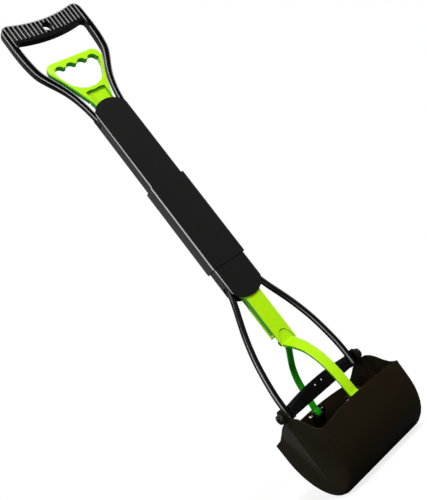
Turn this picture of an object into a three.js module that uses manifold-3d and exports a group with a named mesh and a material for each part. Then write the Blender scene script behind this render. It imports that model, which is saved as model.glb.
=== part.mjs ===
// Pet-waste scooper: a handle that folds in the middle, with a pull ring that opens two spring-closed jaws.
// Millimetres, +Z up the handle, the front towards -Y, the origin under the middle of the closed jaws.
import * as THREE from 'three';
import { mergeVertices } from 'three/addons/utils/BufferGeometryUtils.js';
import Module from 'manifold-3d';

const wasm = await Module();
wasm.setup();

// Clearances that every fit shares
const fit = {
  rest: 0.3, // between pieces that lie on each other
  run: 0.5, // between pieces that slide or turn past each other
  overrun: 6, // how far a cut passes through what it cuts
};

// Heights of the parts of the handle, from the bottom of the jaws up
const span = {
  pivot: 108.4, // the ground to the jaws' pivots
  rods: 154.4, // the pivots to the lower shaft's shoulder
  lowerShaft: 38.8, // the shoulder to the fold
  upperShaft: 234.4, // the fold to the upper shaft's shoulder
  loop: 168.7, // the shoulder to the top of the grip
};

// How far the pull ring travels, and the bars and links with it
const pullTravel = 34;

// The flat black shaft, two shells above the fold and two below it
const shaft = {
  halfWidth: 24.9,
  halfDepth: 8.4,
  wall: 1.5,
  corner: 2.2,
  archHeight: 20,
  splitGap: 0.6,
};

// Screws through the covers and the rails or rods between them
const coverScrew = {
  radius: 1.5,
  headRadius: 2.7,
  headThickness: 1.8,
  headDepth: 0.4,
  bossRadius: 3.9,
  tipCover: 1,
  aboveFold: 43.4,
  belowShoulder: 42,
  belowFold: 11.6,
};

// The handle's hinge, at the back face of the shaft
const foldHinge = {
  pinRadius: 1.1,
  knuckleRadius: 2.2,
  behindShaft: 0.2,
  knuckleGap: 0.4,
  knuckles: 3,
  besideBar: 0.8,
  besideWall: 2.8,
  gussetDrop: 7.5,
};

const sleeve = {
  belowFold: 8,
  length: 127.8,
  wall: 1.5,
  corner: 2.6,
  backGap: 0.9,
  channelGap: 0.3,
};

// The D-grip: a ribbed bar on two arms that run down into the shaft as rails
const grip = {
  halfLength: 61,
  halfDepth: 6.3,
  middleDip: 7.1,
  barHeight: 27.3,
  underRise: 5.6,
  cornerDrop: 10.5,
  edgeRound: 1.8,
  armInset: 8.6,
  legDrop: 1.5,
  filletReach: 5.5,
  ribPitch: 5.97,
  ribs: 19,
  grooveWidth: 4.4,
  grooveDepth: 1.5,
  ribFoot: 6.1,
  holeRadius: 6.2,
  holeDrop: 12.6,
  collarWidth: 2,
};

const arm = {
  topSpread: 56.5,
  topHalfWidth: 4.5,
  railHalfWidth: 3.2,
  railHalfDepth: 3.4,
  railEndAboveFold: 24,
  exitBelowShoulder: 21,
  sides: 10,
  stepsPerSpan: 2,
  roundness: 0.72,
};

// Each arm's run: share of the rise from the shoulder to the grip, share of the spread,
// share of the thickening
const armRunShares = [
  [-0.31, 0, 0],
  [-0.2, 0.012, 0],
  [-0.1, 0.045, 0],
  [0, 0.097, 0],
  [0.1, 0.145, 0],
  [0.2, 0.206, 0.05],
  [0.315, 0.311, 0.15],
  [0.404, 0.427, 0.3],
  [0.48, 0.557, 0.45],
  [0.565, 0.72, 0.62],
  [0.66, 0.876, 0.78],
  [0.765, 0.947, 0.9],
  [0.88, 0.984, 1],
  [1.02, 1, 1],
];

const ring = {
  belowGrip: 38.3,
  aboveShoulder: 16,
  armGap: 3.4,
  front: 5.6,
  depth: 8.4,
  topBar: 8,
  side: 6.2,
  holeFoot: 43.7,
  cornerRadius: 11,
  edge: 1,
  scallopRadius: 7.4,
  scallopDepth: 4.2,
  scallops: 4,
  scallopPitch: 16.8,
  tongueDrop: 5,
  pocketDepth: 4.2,
  pocketHalfWidth: 14.6,
  pocketRise: 22.3,
  pocketHump: 1,
  pocketFootHalfWidth: 13.4,
  bladeHalfWidth: 7.5,
  bladeHalfDepth: 2,
  bladeDrop: 24,
  slotHeight: 3,
  slotDepth: 1.6,
  slotRise: 8.6,
};

// The ring's outer side, from its shoulder down to its neck and foot: share of the half width,
// share of the height
const ringSideShares = [
  [1, 0.813],
  [0.82, 0.631],
  [0.612, 0.388],
  [0.385, 0.0875],
  [0.358, 0],
];

// The finger hole's side, from its top corner to its foot: share of its half width, share of its height
const holeSideShares = [
  [0.986, 0.846],
  [0.914, 0.604],
  [0.714, 0.275],
  [0.457, 0.1],
  [0.17, 0.01],
];

const triggerScrew = { radius: 1.5, headRadius: 2.6, headThickness: 1.3, drop: 15 };

// The pull bars: an I-section in two lengths, hinged to each other at the fold
const bar = {
  sideGap: 2.3,
  faceGap: 0.9,
  flange: 1.6,
  web: 2.6,
  rib: 1.6,
  ribPitch: 28,
  topBelowRingTongue: 0.5,
  endBlock: 13,
  endBlockHalfWidth: 7.4,
  endGap: 2.6,
  earWidth: 3.8,
  middleEarHalfWidth: 3,
  earFoot: 1.5,
  hingePinRadius: 1.1,
  lugRadius: 3.2,
  lugThickness: 2.5,
  lugBlockRise: 9.5,
  lugBlockHeight: 4.5,
  lugBlockFront: 2.4,
  windowSide: 1.9,
  windowRise: 17.6,
  legFoot: 4,
};

// The links from the lower pull bar to the jaws. The front one is wide and forked, the rear one narrow.
const link = {
  pinAbovePivot: 67.6,
  pinRadius: 1.6,
  pinHeadRadius: 2.9,
  pinHeadThickness: 1.5,
  eyeRadius: 3.5,
  cheekGap: 0.45,
  halfThickness: 2.6,
  footAbove: 4.5,
  footBelow: 3.6,
  footOutward: 3.4,
  tongueRecess: 1,
  tongueThickness: 1.3,
};

const frontLinkWidth = { shoulder: 7, shoulderDrop: 22, foot: 6.4, footInward: 3.2 };
const rearLinkWidth = { half: 4.4, footInward: 5.4 };

// Middle line of the front link from its tongue to the jaw pin: share of the run out, share of the drop,
// share of the thickness
const frontLinkShares = [
  [0.092, -0.02, 0.24],
  [0.098, 0.026, 0.34],
  [0.155, 0.063, 0.7],
  [0.27, 0.103, 0.92],
  [0.43, 0.165, 0.95],
  [0.6, 0.25, 0.85],
  [0.785, 0.396, 0.75],
  [0.9, 0.56, 0.7],
  [0.965, 0.729, 0.65],
  [0.985, 0.85, 0.65],
  [0.995, 0.945, 0.65],
  [1, 1, 0.65],
];

// The same for the rear link, from below the bar's pin
const rearLinkShares = [
  [0.02, 0.02, 0.9],
  [0.113, 0.104, 0.85],
  [0.34, 0.219, 0.85],
  [0.604, 0.365, 0.85],
  [0.769, 0.521, 0.85],
  [0.83, 0.635, 0.8],
  [0.88, 0.76, 0.8],
  [0.915, 0.854, 0.8],
  [0.955, 0.94, 0.8],
  [0.99, 1, 0.8],
];

// The jaws: one round drum cut in two, each half hung on the pivots
const jaw = {
  radius: 63,
  topLean: 1.4,
  rimAboveMiddle: 17.2,
  rimRise: 4.6,
  halfWidth: 66.5,
  wall: 1.7,
  endRound: 4.5,
  seam: 0.6,
  earRadius: 9,
  earGap: 0.3,
  linkPinOut: 48.5,
  linkPinBelowRim: 0.2,
  lugGap: 1.6,
  lugThickness: 2.6,
  lugWall: 2.2,
  slotInward: 3.7,
  slotSlack: 0.65,
};

// Upper edge of a jaw's side wall, from the rim to the pivot: share of the depth,
// share of the height above the rim
const sideEdgeShares = [
  [0.88, 0.012],
  [0.76, 0.085],
  [0.63, 0.27],
  [0.5, 0.53],
  [0.38, 0.7],
  [0.25, 0.79],
  [0.13, 0.8],
];

// The rear jaw's side walls are cut a little lower
const rearSideEdgeShares = [
  [0.9, 0.005],
  [0.76, 0.06],
  [0.616, 0.2],
  [0.46, 0.38],
  [0.317, 0.56],
  [0.217, 0.66],
  [0.13, 0.72],
];

// Two round rods carry the jaws
const rod = {
  radius: 4.1,
  wallGap: 1,
  outerSaddleWall: 0.5,
  belowFold: 3.5,
  footBelowPivot: 5.4,
  exitAboveShoulder: 22,
  sides: 10,
  stepsPerSpan: 2,
};

// Each rod's run: share of the drop from the shoulder to the pivot, share of the spread
const rodRunShares = [
  [-0.14, 0],
  [-0.08, 0.01],
  [-0.035, 0.025],
  [0, 0.06],
  [0.06, 0.138],
  [0.148, 0.264],
  [0.235, 0.405],
  [0.348, 0.577],
  [0.471, 0.731],
  [0.569, 0.828],
  [0.672, 0.903],
  [0.815, 0.979],
  [0.92, 1],
];

const crossBar = {
  halfThickness: 1.75,
  middleTop: 11,
  endTop: 6.8,
  foot: 7.6,
  holeRadius: 1.6,
  holeSpread: 5.6,
  holeAbovePivot: 4.4,
  saddleFront: 2.6,
  saddleBack: 6.6,
  saddleTop: 7,
  saddleFoot: 8.6,
  saddleSide: 1.2,
};

const pivot = {
  pinRadius: 2.1,
  headRadius: 6,
  headThickness: 1.5,
};

const spring = {
  wireRadius: 0.6,
  coilRadius: 5.2,
  pitch: 1.75,
  curls: 1.75,
  stepsPerCurl: 8,
  sides: 5,
  legLength: 10,
  legAngle: Math.PI / 4,
};

const roundSides = 16;
const smallSides = 10;
const mergeTolerance = 1e-4;

// Colours from the photograph
const satinBlack = { color: 0x1c1c1c, roughness: 0.55, metalness: 0 };
const glossBlack = { color: 0x121212, roughness: 0.3, metalness: 0 };
const bucketBlack = { color: 0x15120e, roughness: 0.42, metalness: 0 };
const limeGreen = { color: 0xa8e800, roughness: 0.4, metalness: 0 };
const darkSteel = { color: 0x2a2a2c, roughness: 0.35, metalness: 1 };
const brightSteel = { color: 0xb8b8ba, roughness: 0.3, metalness: 1 };

// A closed geometry as a solid that can be joined and cut
function toSolid(geometry) {
  const bare = geometry.clone();
  bare.deleteAttribute('normal');
  bare.deleteAttribute('uv');
  const merged = mergeVertices(bare, mergeTolerance);
  return new wasm.Manifold(new wasm.Mesh({
    numProp: 3,
    vertProperties: new Float32Array(merged.attributes.position.array),
    triVerts: new Uint32Array(merged.index.array),
  }));
}

function toGeometry(solid) {
  const mesh = solid.getMesh();
  const geometry = new THREE.BufferGeometry();
  geometry.setAttribute('position', new THREE.BufferAttribute(new Float32Array(mesh.vertProperties), 3));
  geometry.setIndex(new THREE.BufferAttribute(new Uint32Array(mesh.triVerts), 1));
  return geometry;
}

function join(...solids) {
  return solids.reduce((whole, piece) => whole.add(piece));
}

function cut(solid, ...tools) {
  return tools.reduce((rest, tool) => rest.subtract(tool), solid);
}

// The same solid on the other side of a middle plane; side is -1 or 1, axis 0 for X and 1 for Y
function toSide(solid, side, axis = 0) {
  if (side > 0) {
    return solid;
  }
  const mesh = solid.getMesh();
  const mirrored = (value, i) => (i % 3 === axis ? -value : value);
  const vertProperties = Float32Array.from(mesh.vertProperties, mirrored);
  const triVerts = Uint32Array.from(mesh.triVerts);
  for (let i = 0; i < triVerts.length; i += 3) {
    [triVerts[i], triVerts[i + 1]] = [triVerts[i + 1], triVerts[i]];
  }
  return new wasm.Manifold(new wasm.Mesh({ numProp: 3, vertProperties, triVerts }));
}

function bothSides(solid, axis = 0) {
  return join(solid, toSide(solid, -1, axis));
}

function toShape(points) {
  return new THREE.Shape(points.map(([a, b]) => new THREE.Vector2(a, b)));
}

// An outline pushed from one place to another along an axis.
// Outlines are (y, z) for the X axis, (x, z) for the Y axis and (x, y) for the Z axis.
function prism(outline, axis, from, to, edge = 0) {
  const shape = outline instanceof THREE.Shape ? outline : toShape(outline);
  const geometry = new THREE.ExtrudeGeometry(shape, {
    depth: to - from - 2 * edge,
    curveSegments: 10,
    bevelEnabled: edge > 0,
    bevelThickness: edge,
    bevelSize: edge,
    bevelOffset: -edge,
    bevelSegments: 2,
  });
  const x = new THREE.Vector3(1, 0, 0);
  const y = new THREE.Vector3(0, 1, 0);
  const z = new THREE.Vector3(0, 0, 1);
  const turned = new THREE.Matrix4();
  if (axis === 'x') {
    geometry.translate(0, 0, from + edge);
    turned.makeBasis(y, z, x);
  } else if (axis === 'y') {
    geometry.translate(0, 0, -to + edge);
    turned.makeBasis(x, z, y.clone().negate());
  } else {
    geometry.translate(0, 0, from + edge);
  }
  return toSolid(geometry.applyMatrix4(turned));
}

function block([x0, x1], [y0, y1], [z0, z1]) {
  return prism([[x0, y0], [x1, y0], [x1, y1], [x0, y1]], 'z', z0, z1);
}

function circle([a, b], radius, sides = roundSides) {
  return Array.from({ length: sides }, (_, i) => {
    const angle = (2 * Math.PI * (i + 0.5)) / sides;
    return [a + radius * Math.cos(angle), b + radius * Math.sin(angle)];
  });
}

function disc(centre, radius, axis, from, to, sides = roundSides) {
  return prism(circle(centre, radius, sides), axis, from, to);
}

// A slot: two circles' worth of outline, from one centre to another
function capsule([a0, b0], [a1, b1], radius, sides = smallSides) {
  const heading = Math.atan2(b1 - b0, a1 - a0);
  const halfTurn = (a, b, start) => Array.from({ length: sides / 2 + 1 }, (_, i) => {
    const angle = start + (2 * Math.PI * i) / sides;
    return [a + radius * Math.cos(angle), b + radius * Math.sin(angle)];
  });
  return [...halfTurn(a1, b1, heading - Math.PI / 2), ...halfTurn(a0, b0, heading + Math.PI / 2)];
}

// A closed solid through a row of rings, each with as many points going round
function loft(rings) {
  const sides = rings[0].length;
  const positions = rings.flat().flatMap((point) => point.toArray());
  const index = [];
  for (let k = 0; k + 1 < rings.length; k += 1) {
    for (let i = 0; i < sides; i += 1) {
      const a = k * sides + i;
      const b = k * sides + ((i + 1) % sides);
      index.push(a, b, b + sides, a, b + sides, a + sides);
    }
  }
  const last = (rings.length - 1) * sides;
  for (let i = 1; i + 1 < sides; i += 1) {
    index.push(0, i + 1, i, last, last + i, last + i + 1);
  }
  const geometry = new THREE.BufferGeometry();
  geometry.setAttribute('position', new THREE.Float32BufferAttribute(positions, 3));
  geometry.setIndex(index);
  return toSolid(geometry);
}

// A bar that follows a route in the plane of the handle; its stations are [x, z, half width, half depth]
function sweptBar(stations, stepsPerSpan, sides, roundness) {
  const places = stations.map(([x, z]) => new THREE.Vector3(x, 0, z));
  const route = new THREE.CatmullRomCurve3(places, false, 'centripetal');
  const spans = stations.length - 1;
  const steps = spans * stepsPerSpan;
  const soften = (value) => Math.sign(value) * Math.abs(value) ** roundness;
  const rings = Array.from({ length: steps + 1 }, (_, k) => {
    const share = k / steps;
    const span = Math.min(Math.floor(share * spans), spans - 1);
    const along = share * spans - span;
    const halfWidth = THREE.MathUtils.lerp(stations[span][2], stations[span + 1][2], along);
    const halfDepth = THREE.MathUtils.lerp(stations[span][3], stations[span + 1][3], along);
    const centre = route.getPoint(share);
    const heading = route.getTangent(share);
    const across = new THREE.Vector3(heading.z, 0, -heading.x);
    return Array.from({ length: sides }, (_unused, i) => {
      const angle = (2 * Math.PI * (i + 0.5)) / sides;
      return centre.clone()
        .addScaledVector(across, halfWidth * soften(Math.cos(angle)))
        .add(new THREE.Vector3(0, halfDepth * soften(Math.sin(angle)), 0));
    });
  });
  return loft(rings);
}

// Everything below is placed from these
const level = {
  jawPivot: span.pivot,
  lowerShoulder: span.pivot + span.rods,
  fold: span.pivot + span.rods + span.lowerShaft,
  upperShoulder: span.pivot + span.rods + span.lowerShaft + span.upperShaft,
  gripTop: span.pivot + span.rods + span.lowerShaft + span.upperShaft + span.loop,
};
const foldAxisY = shaft.halfDepth + foldHinge.behindShaft;
const upperCut = level.fold + shaft.splitGap / 2;
const lowerCut = level.fold - shaft.splitGap / 2;
const upperTop = level.upperShoulder + shaft.archHeight;
const lowerBottom = level.lowerShoulder - shaft.archHeight;
const innerHalfWidth = shaft.halfWidth - shaft.wall;
const innerHalfDepth = shaft.halfDepth - shaft.wall;
const upperScrewHeights = [level.fold + coverScrew.aboveFold, level.upperShoulder - coverScrew.belowShoulder];
const lowerScrewHeights = [level.fold - coverScrew.belowFold];
const railSpread = innerHalfWidth - rod.wallGap - rod.radius;
const barHalfWidth = railSpread - rod.radius - bar.sideGap;
const barHalfDepth = innerHalfDepth - bar.faceGap;
const gripFoot = level.gripTop - grip.middleDip - grip.barHeight;
const ringTop = gripFoot - ring.belowGrip;
const ringFoot = level.upperShoulder + ring.aboveShoulder;
const tongueFoot = ringFoot - ring.tongueDrop;
const upperBarTop = tongueFoot - bar.topBelowRingTongue;
const firstKnuckle = bar.endBlockHalfWidth + fit.run + foldHinge.besideBar;
const lastKnuckle = innerHalfWidth - foldHinge.besideWall;
const knuckleStep = (lastKnuckle - firstKnuckle + foldHinge.knuckleGap) / foldHinge.knuckles;
const knuckleLength = knuckleStep - foldHinge.knuckleGap;
const sleeveFoot = level.fold - sleeve.belowFold;
const linkTop = level.jawPivot + link.pinAbovePivot;
const rimHeight = jaw.radius + jaw.rimAboveMiddle;
const linkPinHeight = rimHeight - jaw.linkPinBelowRim;
const windowHalf = barHalfWidth - bar.windowSide;
const lugStart = frontLinkWidth.foot + jaw.lugGap;
const blockFar = jaw.halfWidth - 2 * jaw.wall - 2 * jaw.earGap - fit.rest;
const footSpread = blockFar - rod.outerSaddleWall - fit.rest - rod.radius;

// One shell of the shaft: a shallow channel, open towards the middle, with a half-round arch at one end
function shaftShell(from, to, shoulder) {
  const corner = shaft.corner;
  const outer = new THREE.Shape();
  outer.moveTo(shaft.halfWidth, -fit.rest / 2);
  outer.lineTo(shaft.halfWidth, -shaft.halfDepth + corner);
  outer.absarc(shaft.halfWidth - corner, -shaft.halfDepth + corner, corner, 0, -Math.PI / 2, true);
  outer.lineTo(-shaft.halfWidth + corner, -shaft.halfDepth);
  outer.absarc(-shaft.halfWidth + corner, -shaft.halfDepth + corner, corner, -Math.PI / 2, -Math.PI, true);
  outer.lineTo(-shaft.halfWidth, -fit.rest / 2);
  outer.lineTo(-innerHalfWidth, -fit.rest / 2);
  outer.lineTo(-innerHalfWidth, -innerHalfDepth);
  outer.lineTo(innerHalfWidth, -innerHalfDepth);
  outer.lineTo(innerHalfWidth, -fit.rest / 2);
  const arch = new THREE.Shape();
  const upwards = to - shoulder < shoulder - from;
  arch.moveTo(shaft.halfWidth + fit.overrun, upwards ? from - fit.overrun : to + fit.overrun);
  arch.lineTo(shaft.halfWidth + fit.overrun, shoulder);
  arch.lineTo(shaft.halfWidth, shoulder);
  const turn = upwards ? Math.PI : -Math.PI;
  arch.absellipse(0, shoulder, shaft.halfWidth, shaft.archHeight, 0, turn, !upwards);
  arch.lineTo(-shaft.halfWidth - fit.overrun, shoulder);
  arch.lineTo(-shaft.halfWidth - fit.overrun, upwards ? from - fit.overrun : to + fit.overrun);
  const keep = prism(arch, 'y', -shaft.halfDepth - fit.overrun, shaft.halfDepth);
  return prism(outer, 'z', from, to).intersect(keep);
}

// Room in the side walls where an arm or a rod comes out
function exitCut(from, to) {
  const inside = railSpread + arm.railHalfWidth;
  return bothSides(block(
    [inside, shaft.halfWidth + fit.overrun],
    [-innerHalfDepth, innerHalfDepth],
    [from, to],
  ));
}

// Posts inside a shell that the screws go through, from the wall to the rail or rod
function screwPosts(heights, railHalfDepth) {
  return heights.map((height) => bothSides(disc(
    [railSpread, height],
    coverScrew.bossRadius,
    'y',
    -innerHalfDepth - shaft.wall / 2,
    -railHalfDepth - fit.rest,
  )));
}

function screwHoles(heights) {
  return heights.map((height) => bothSides(disc(
    [railSpread, height],
    coverScrew.radius + fit.rest,
    'y',
    -shaft.halfDepth + coverScrew.tipCover,
    shaft.halfDepth + fit.overrun,
    smallSides,
  )));
}

function screwHeadSeats(heights) {
  const depth = coverScrew.headDepth + coverScrew.headThickness + fit.rest;
  return heights.map((height) => bothSides(disc(
    [railSpread, height],
    coverScrew.headRadius + fit.rest,
    'y',
    shaft.halfDepth - depth,
    shaft.halfDepth + fit.overrun,
    smallSides,
  )));
}

// A screw through both covers and the rail or rod between them, its head at the back
function coverScrewSolid(side, height) {
  const headBack = shaft.halfDepth - coverScrew.headDepth;
  const headFront = headBack - coverScrew.headThickness;
  return toSide(join(
    disc([railSpread, height], coverScrew.headRadius, 'y', headFront, headBack, smallSides),
    disc(
      [railSpread, height],
      coverScrew.radius,
      'y',
      -shaft.halfDepth + coverScrew.tipCover + fit.rest,
      headFront + coverScrew.headThickness / 2,
      smallSides,
    ),
  ), side);
}

// Where knuckle number i starts, counted outwards from the middle
function knuckleStart(i) {
  return firstKnuckle + i * knuckleStep;
}

// A knuckle of the fold with the gusset that joins it to the back wall.
// Its direction is 1 above the fold and -1 below it.
function knuckle(i, direction) {
  const start = knuckleStart(i);
  const end = start + knuckleLength;
  const reach = foldHinge.knuckleRadius * Math.SQRT1_2;
  const gusset = [
    [shaft.halfDepth - shaft.wall, level.fold + direction * shaft.splitGap / 2],
    [foldAxisY, level.fold + direction * shaft.splitGap / 2],
    [foldAxisY + reach, level.fold + direction * reach],
    [shaft.halfDepth - shaft.wall / 2, level.fold + direction * foldHinge.gussetDrop],
    [shaft.halfDepth - shaft.wall, level.fold + direction * foldHinge.gussetDrop],
  ];
  const outline = direction > 0 ? gusset : gusset.reverse();
  return bothSides(join(
    disc([foldAxisY, level.fold], foldHinge.knuckleRadius, 'x', start, end, smallSides),
    prism(outline, 'x', start, end),
  ));
}

// Room in the other half's back wall for a knuckle
function knuckleRoom(i) {
  const start = knuckleStart(i) - foldHinge.knuckleGap;
  const end = knuckleStart(i) + knuckleLength + foldHinge.knuckleGap;
  return bothSides(disc(
    [foldAxisY, level.fold],
    foldHinge.knuckleRadius + fit.run,
    'x',
    start,
    end,
  ));
}

function isUpperKnuckle(i) {
  return i % 2 === 0;
}

// The shell behind the shaft, above or below the fold
function rearCover(shell, direction, heights, railHalfDepth) {
  const indexes = Array.from({ length: foldHinge.knuckles }, (_, i) => i);
  const own = indexes.filter((i) => isUpperKnuckle(i) === direction > 0);
  const others = indexes.filter((i) => isUpperKnuckle(i) !== direction > 0);
  const pinHole = bothSides(disc(
    [foldAxisY, level.fold],
    foldHinge.pinRadius + fit.rest,
    'x',
    firstKnuckle - foldHinge.knuckleGap,
    lastKnuckle + foldHinge.knuckleGap,
    smallSides,
  ));
  const slotHalf = bar.endBlockHalfWidth + fit.run;
  const slotEnd = bar.endGap + bar.earFoot + fit.run + (direction > 0 ? pullTravel : 0);
  const slot = block(
    [-slotHalf, slotHalf],
    [0, shaft.halfDepth + fit.overrun],
    direction > 0
      ? [level.fold - fit.overrun, level.fold + slotEnd]
      : [level.fold - slotEnd, level.fold + fit.overrun],
  );
  return cut(
    join(cut(shell, ...others.map(knuckleRoom)), ...own.map((i) => knuckle(i, direction))),
    pinHole,
    slot,
    ...screwHoles(heights),
    ...screwHeadSeats(heights),
  );
}

function upperCovers() {
  const shell = cut(
    shaftShell(upperCut, upperTop, level.upperShoulder),
    exitCut(level.upperShoulder - arm.exitBelowShoulder, upperTop + fit.overrun),
  );
  const posted = join(shell, ...screwPosts(upperScrewHeights, arm.railHalfDepth));
  return {
    front: cut(posted, ...screwHoles(upperScrewHeights)),
    rear: rearCover(toSide(posted, -1, 1), 1, upperScrewHeights, arm.railHalfDepth),
  };
}

function lowerCovers() {
  const shell = cut(
    shaftShell(lowerBottom, lowerCut, level.lowerShoulder),
    exitCut(lowerBottom - fit.overrun, level.lowerShoulder + rod.exitAboveShoulder),
  );
  const posted = join(shell, ...screwPosts(lowerScrewHeights, rod.radius));
  return {
    front: cut(posted, ...screwHoles(lowerScrewHeights)),
    rear: rearCover(toSide(posted, -1, 1), -1, lowerScrewHeights, rod.radius),
  };
}

function foldPin(side) {
  return toSide(disc(
    [foldAxisY, level.fold],
    foldHinge.pinRadius,
    'x',
    firstKnuckle,
    lastKnuckle,
    smallSides,
  ), side);
}

// The sleeve: a flat tube with a channel along its back that clears the hinge
function lockingSleeve() {
  const innerX = shaft.halfWidth + fit.run;
  const outerX = innerX + sleeve.wall;
  const innerFront = -shaft.halfDepth - fit.run;
  const innerBack = shaft.halfDepth + sleeve.backGap;
  const channelX = lastKnuckle + fit.run;
  const channelBack = foldAxisY + foldHinge.knuckleRadius + sleeve.channelGap;
  const outerFront = innerFront - sleeve.wall;
  const outerBack = innerBack + sleeve.wall;
  const corner = sleeve.corner;
  const outline = new THREE.Shape();
  outline.moveTo(outerX, outerFront + corner);
  outline.lineTo(outerX, outerBack - corner);
  outline.absarc(outerX - corner, outerBack - corner, corner, 0, Math.PI / 2, false);
  outline.lineTo(channelX + sleeve.wall, outerBack);
  outline.lineTo(channelX, channelBack + sleeve.wall);
  outline.lineTo(-channelX, channelBack + sleeve.wall);
  outline.lineTo(-channelX - sleeve.wall, outerBack);
  outline.absarc(-outerX + corner, outerBack - corner, corner, Math.PI / 2, Math.PI, false);
  outline.absarc(-outerX + corner, outerFront + corner, corner, Math.PI, 1.5 * Math.PI, false);
  outline.absarc(outerX - corner, outerFront + corner, corner, 1.5 * Math.PI, 2 * Math.PI, false);
  const bore = toShape([
    [innerX, innerFront],
    [innerX, innerBack],
    [channelX, innerBack],
    [channelX, channelBack],
    [-channelX, channelBack],
    [-channelX, innerBack],
    [-innerX, innerBack],
    [-innerX, innerFront],
  ]);
  return cut(
    prism(outline, 'z', sleeveFoot, sleeveFoot + sleeve.length),
    prism(bore, 'z', sleeveFoot - fit.overrun, sleeveFoot + sleeve.length + fit.overrun),
  );
}

// Height of the grip bar's underside at a distance from the middle
function gripUnderside(x) {
  const reach = grip.halfLength - 2 * grip.armInset;
  return gripFoot + grip.underRise * (x / reach) ** 2;
}

// The bar's outline runs down past the arms' tops, so that bar and arms blend
function gripBar() {
  const outerX = grip.halfLength;
  const innerX = arm.topSpread - arm.topHalfWidth;
  const top = level.gripTop;
  const footZ = gripFoot - grip.legDrop;
  const cornerX = outerX - grip.cornerDrop;
  const innerTop = gripFoot + grip.underRise;
  const outline = new THREE.Shape();
  outline.moveTo(cornerX, top);
  outline.quadraticCurveTo(0, top - 2 * grip.middleDip, -cornerX, top);
  outline.quadraticCurveTo(-outerX, top, -outerX, top - grip.cornerDrop);
  outline.lineTo(-outerX, footZ);
  outline.lineTo(-innerX, footZ);
  outline.quadraticCurveTo(-innerX, innerTop, -innerX + grip.filletReach, innerTop);
  outline.quadraticCurveTo(0, gripFoot - grip.underRise, innerX - grip.filletReach, innerTop);
  outline.quadraticCurveTo(innerX, innerTop, innerX, footZ);
  outline.lineTo(outerX, footZ);
  outline.lineTo(outerX, top - grip.cornerDrop);
  outline.quadraticCurveTo(outerX, top, cornerX, top);
  return prism(outline, 'y', -grip.halfDepth, grip.halfDepth, grip.edgeRound);
}

function gripGrooves() {
  const grooves = [];
  const count = grip.ribs - 1;
  for (let i = 0; i < count; i += 1) {
    const x = (i - (count - 1) / 2) * grip.ribPitch;
    const span = [x - grip.grooveWidth / 2, x + grip.grooveWidth / 2];
    const foot = (gripUnderside(x) + gripFoot) / 2 + grip.ribFoot;
    const depth = [grip.halfDepth - grip.grooveDepth, grip.halfDepth + fit.overrun];
    grooves.push(bothSides(block(span, depth, [foot, level.gripTop + fit.overrun]), 1));
  }
  return grooves;
}

function gripFrame() {
  const rise = gripFoot - level.upperShoulder;
  const spread = arm.topSpread - railSpread;
  const runStations = armRunShares.map(([heightShare, spreadShare, thickShare]) => [
    railSpread + spread * spreadShare,
    level.upperShoulder + rise * heightShare,
    THREE.MathUtils.lerp(arm.railHalfWidth, arm.topHalfWidth, thickShare),
    THREE.MathUtils.lerp(arm.railHalfDepth, grip.halfDepth, thickShare),
  ]);
  const railEnd = [railSpread, level.fold + arm.railEndAboveFold, arm.railHalfWidth, arm.railHalfDepth];
  const oneArm = sweptBar([railEnd, ...runStations], arm.stepsPerSpan, arm.sides, arm.roundness);
  const holeCentre = [0, level.gripTop - grip.middleDip - grip.holeDrop];
  const collar = disc(
    holeCentre,
    grip.holeRadius + grip.collarWidth,
    'y',
    -grip.halfDepth + grip.edgeRound / 4,
    grip.halfDepth - grip.edgeRound / 4,
  );
  return cut(
    join(cut(gripBar(), ...gripGrooves()), collar, bothSides(oneArm)),
    disc(holeCentre, grip.holeRadius, 'y', -grip.halfDepth - fit.overrun, grip.halfDepth + fit.overrun),
    ...screwHoles(upperScrewHeights),
  );
}

// Points of a half outline, given as shares: on the right from the top down, on the left from the foot up
function mirroredOutline(shares, halfWidth, foot, height) {
  const right = shares.map(([a, b]) => [halfWidth * a, foot + height * b]);
  const left = right.map(([x, z]) => [-x, z]).reverse();
  return [...right, ...left];
}

// Inner side of an arm at a height, by straight lines between its stations
function armInside(height) {
  const rise = gripFoot - level.upperShoulder;
  const share = (height - level.upperShoulder) / rise;
  const next = Math.max(armRunShares.findIndex(([heightShare]) => heightShare > share), 1);
  const [fromShare, fromSpread, fromThick] = armRunShares[next - 1];
  const [toShare, toSpread, toThick] = armRunShares[next];
  const along = (share - fromShare) / (toShare - fromShare);
  const spreadShare = THREE.MathUtils.lerp(fromSpread, toSpread, along);
  const thickShare = THREE.MathUtils.lerp(fromThick, toThick, along);
  const middle = THREE.MathUtils.lerp(railSpread, arm.topSpread, spreadShare);
  return middle - THREE.MathUtils.lerp(arm.railHalfWidth, arm.topHalfWidth, thickShare);
}

// The ring is as wide as the arms leave room for along its whole side
function ringHalfWidth(height) {
  const limits = ringSideShares.map(([widthShare, heightShare]) => (
    (armInside(ringFoot + height * heightShare) - ring.armGap) / widthShare
  ));
  return Math.min(...limits);
}

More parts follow.
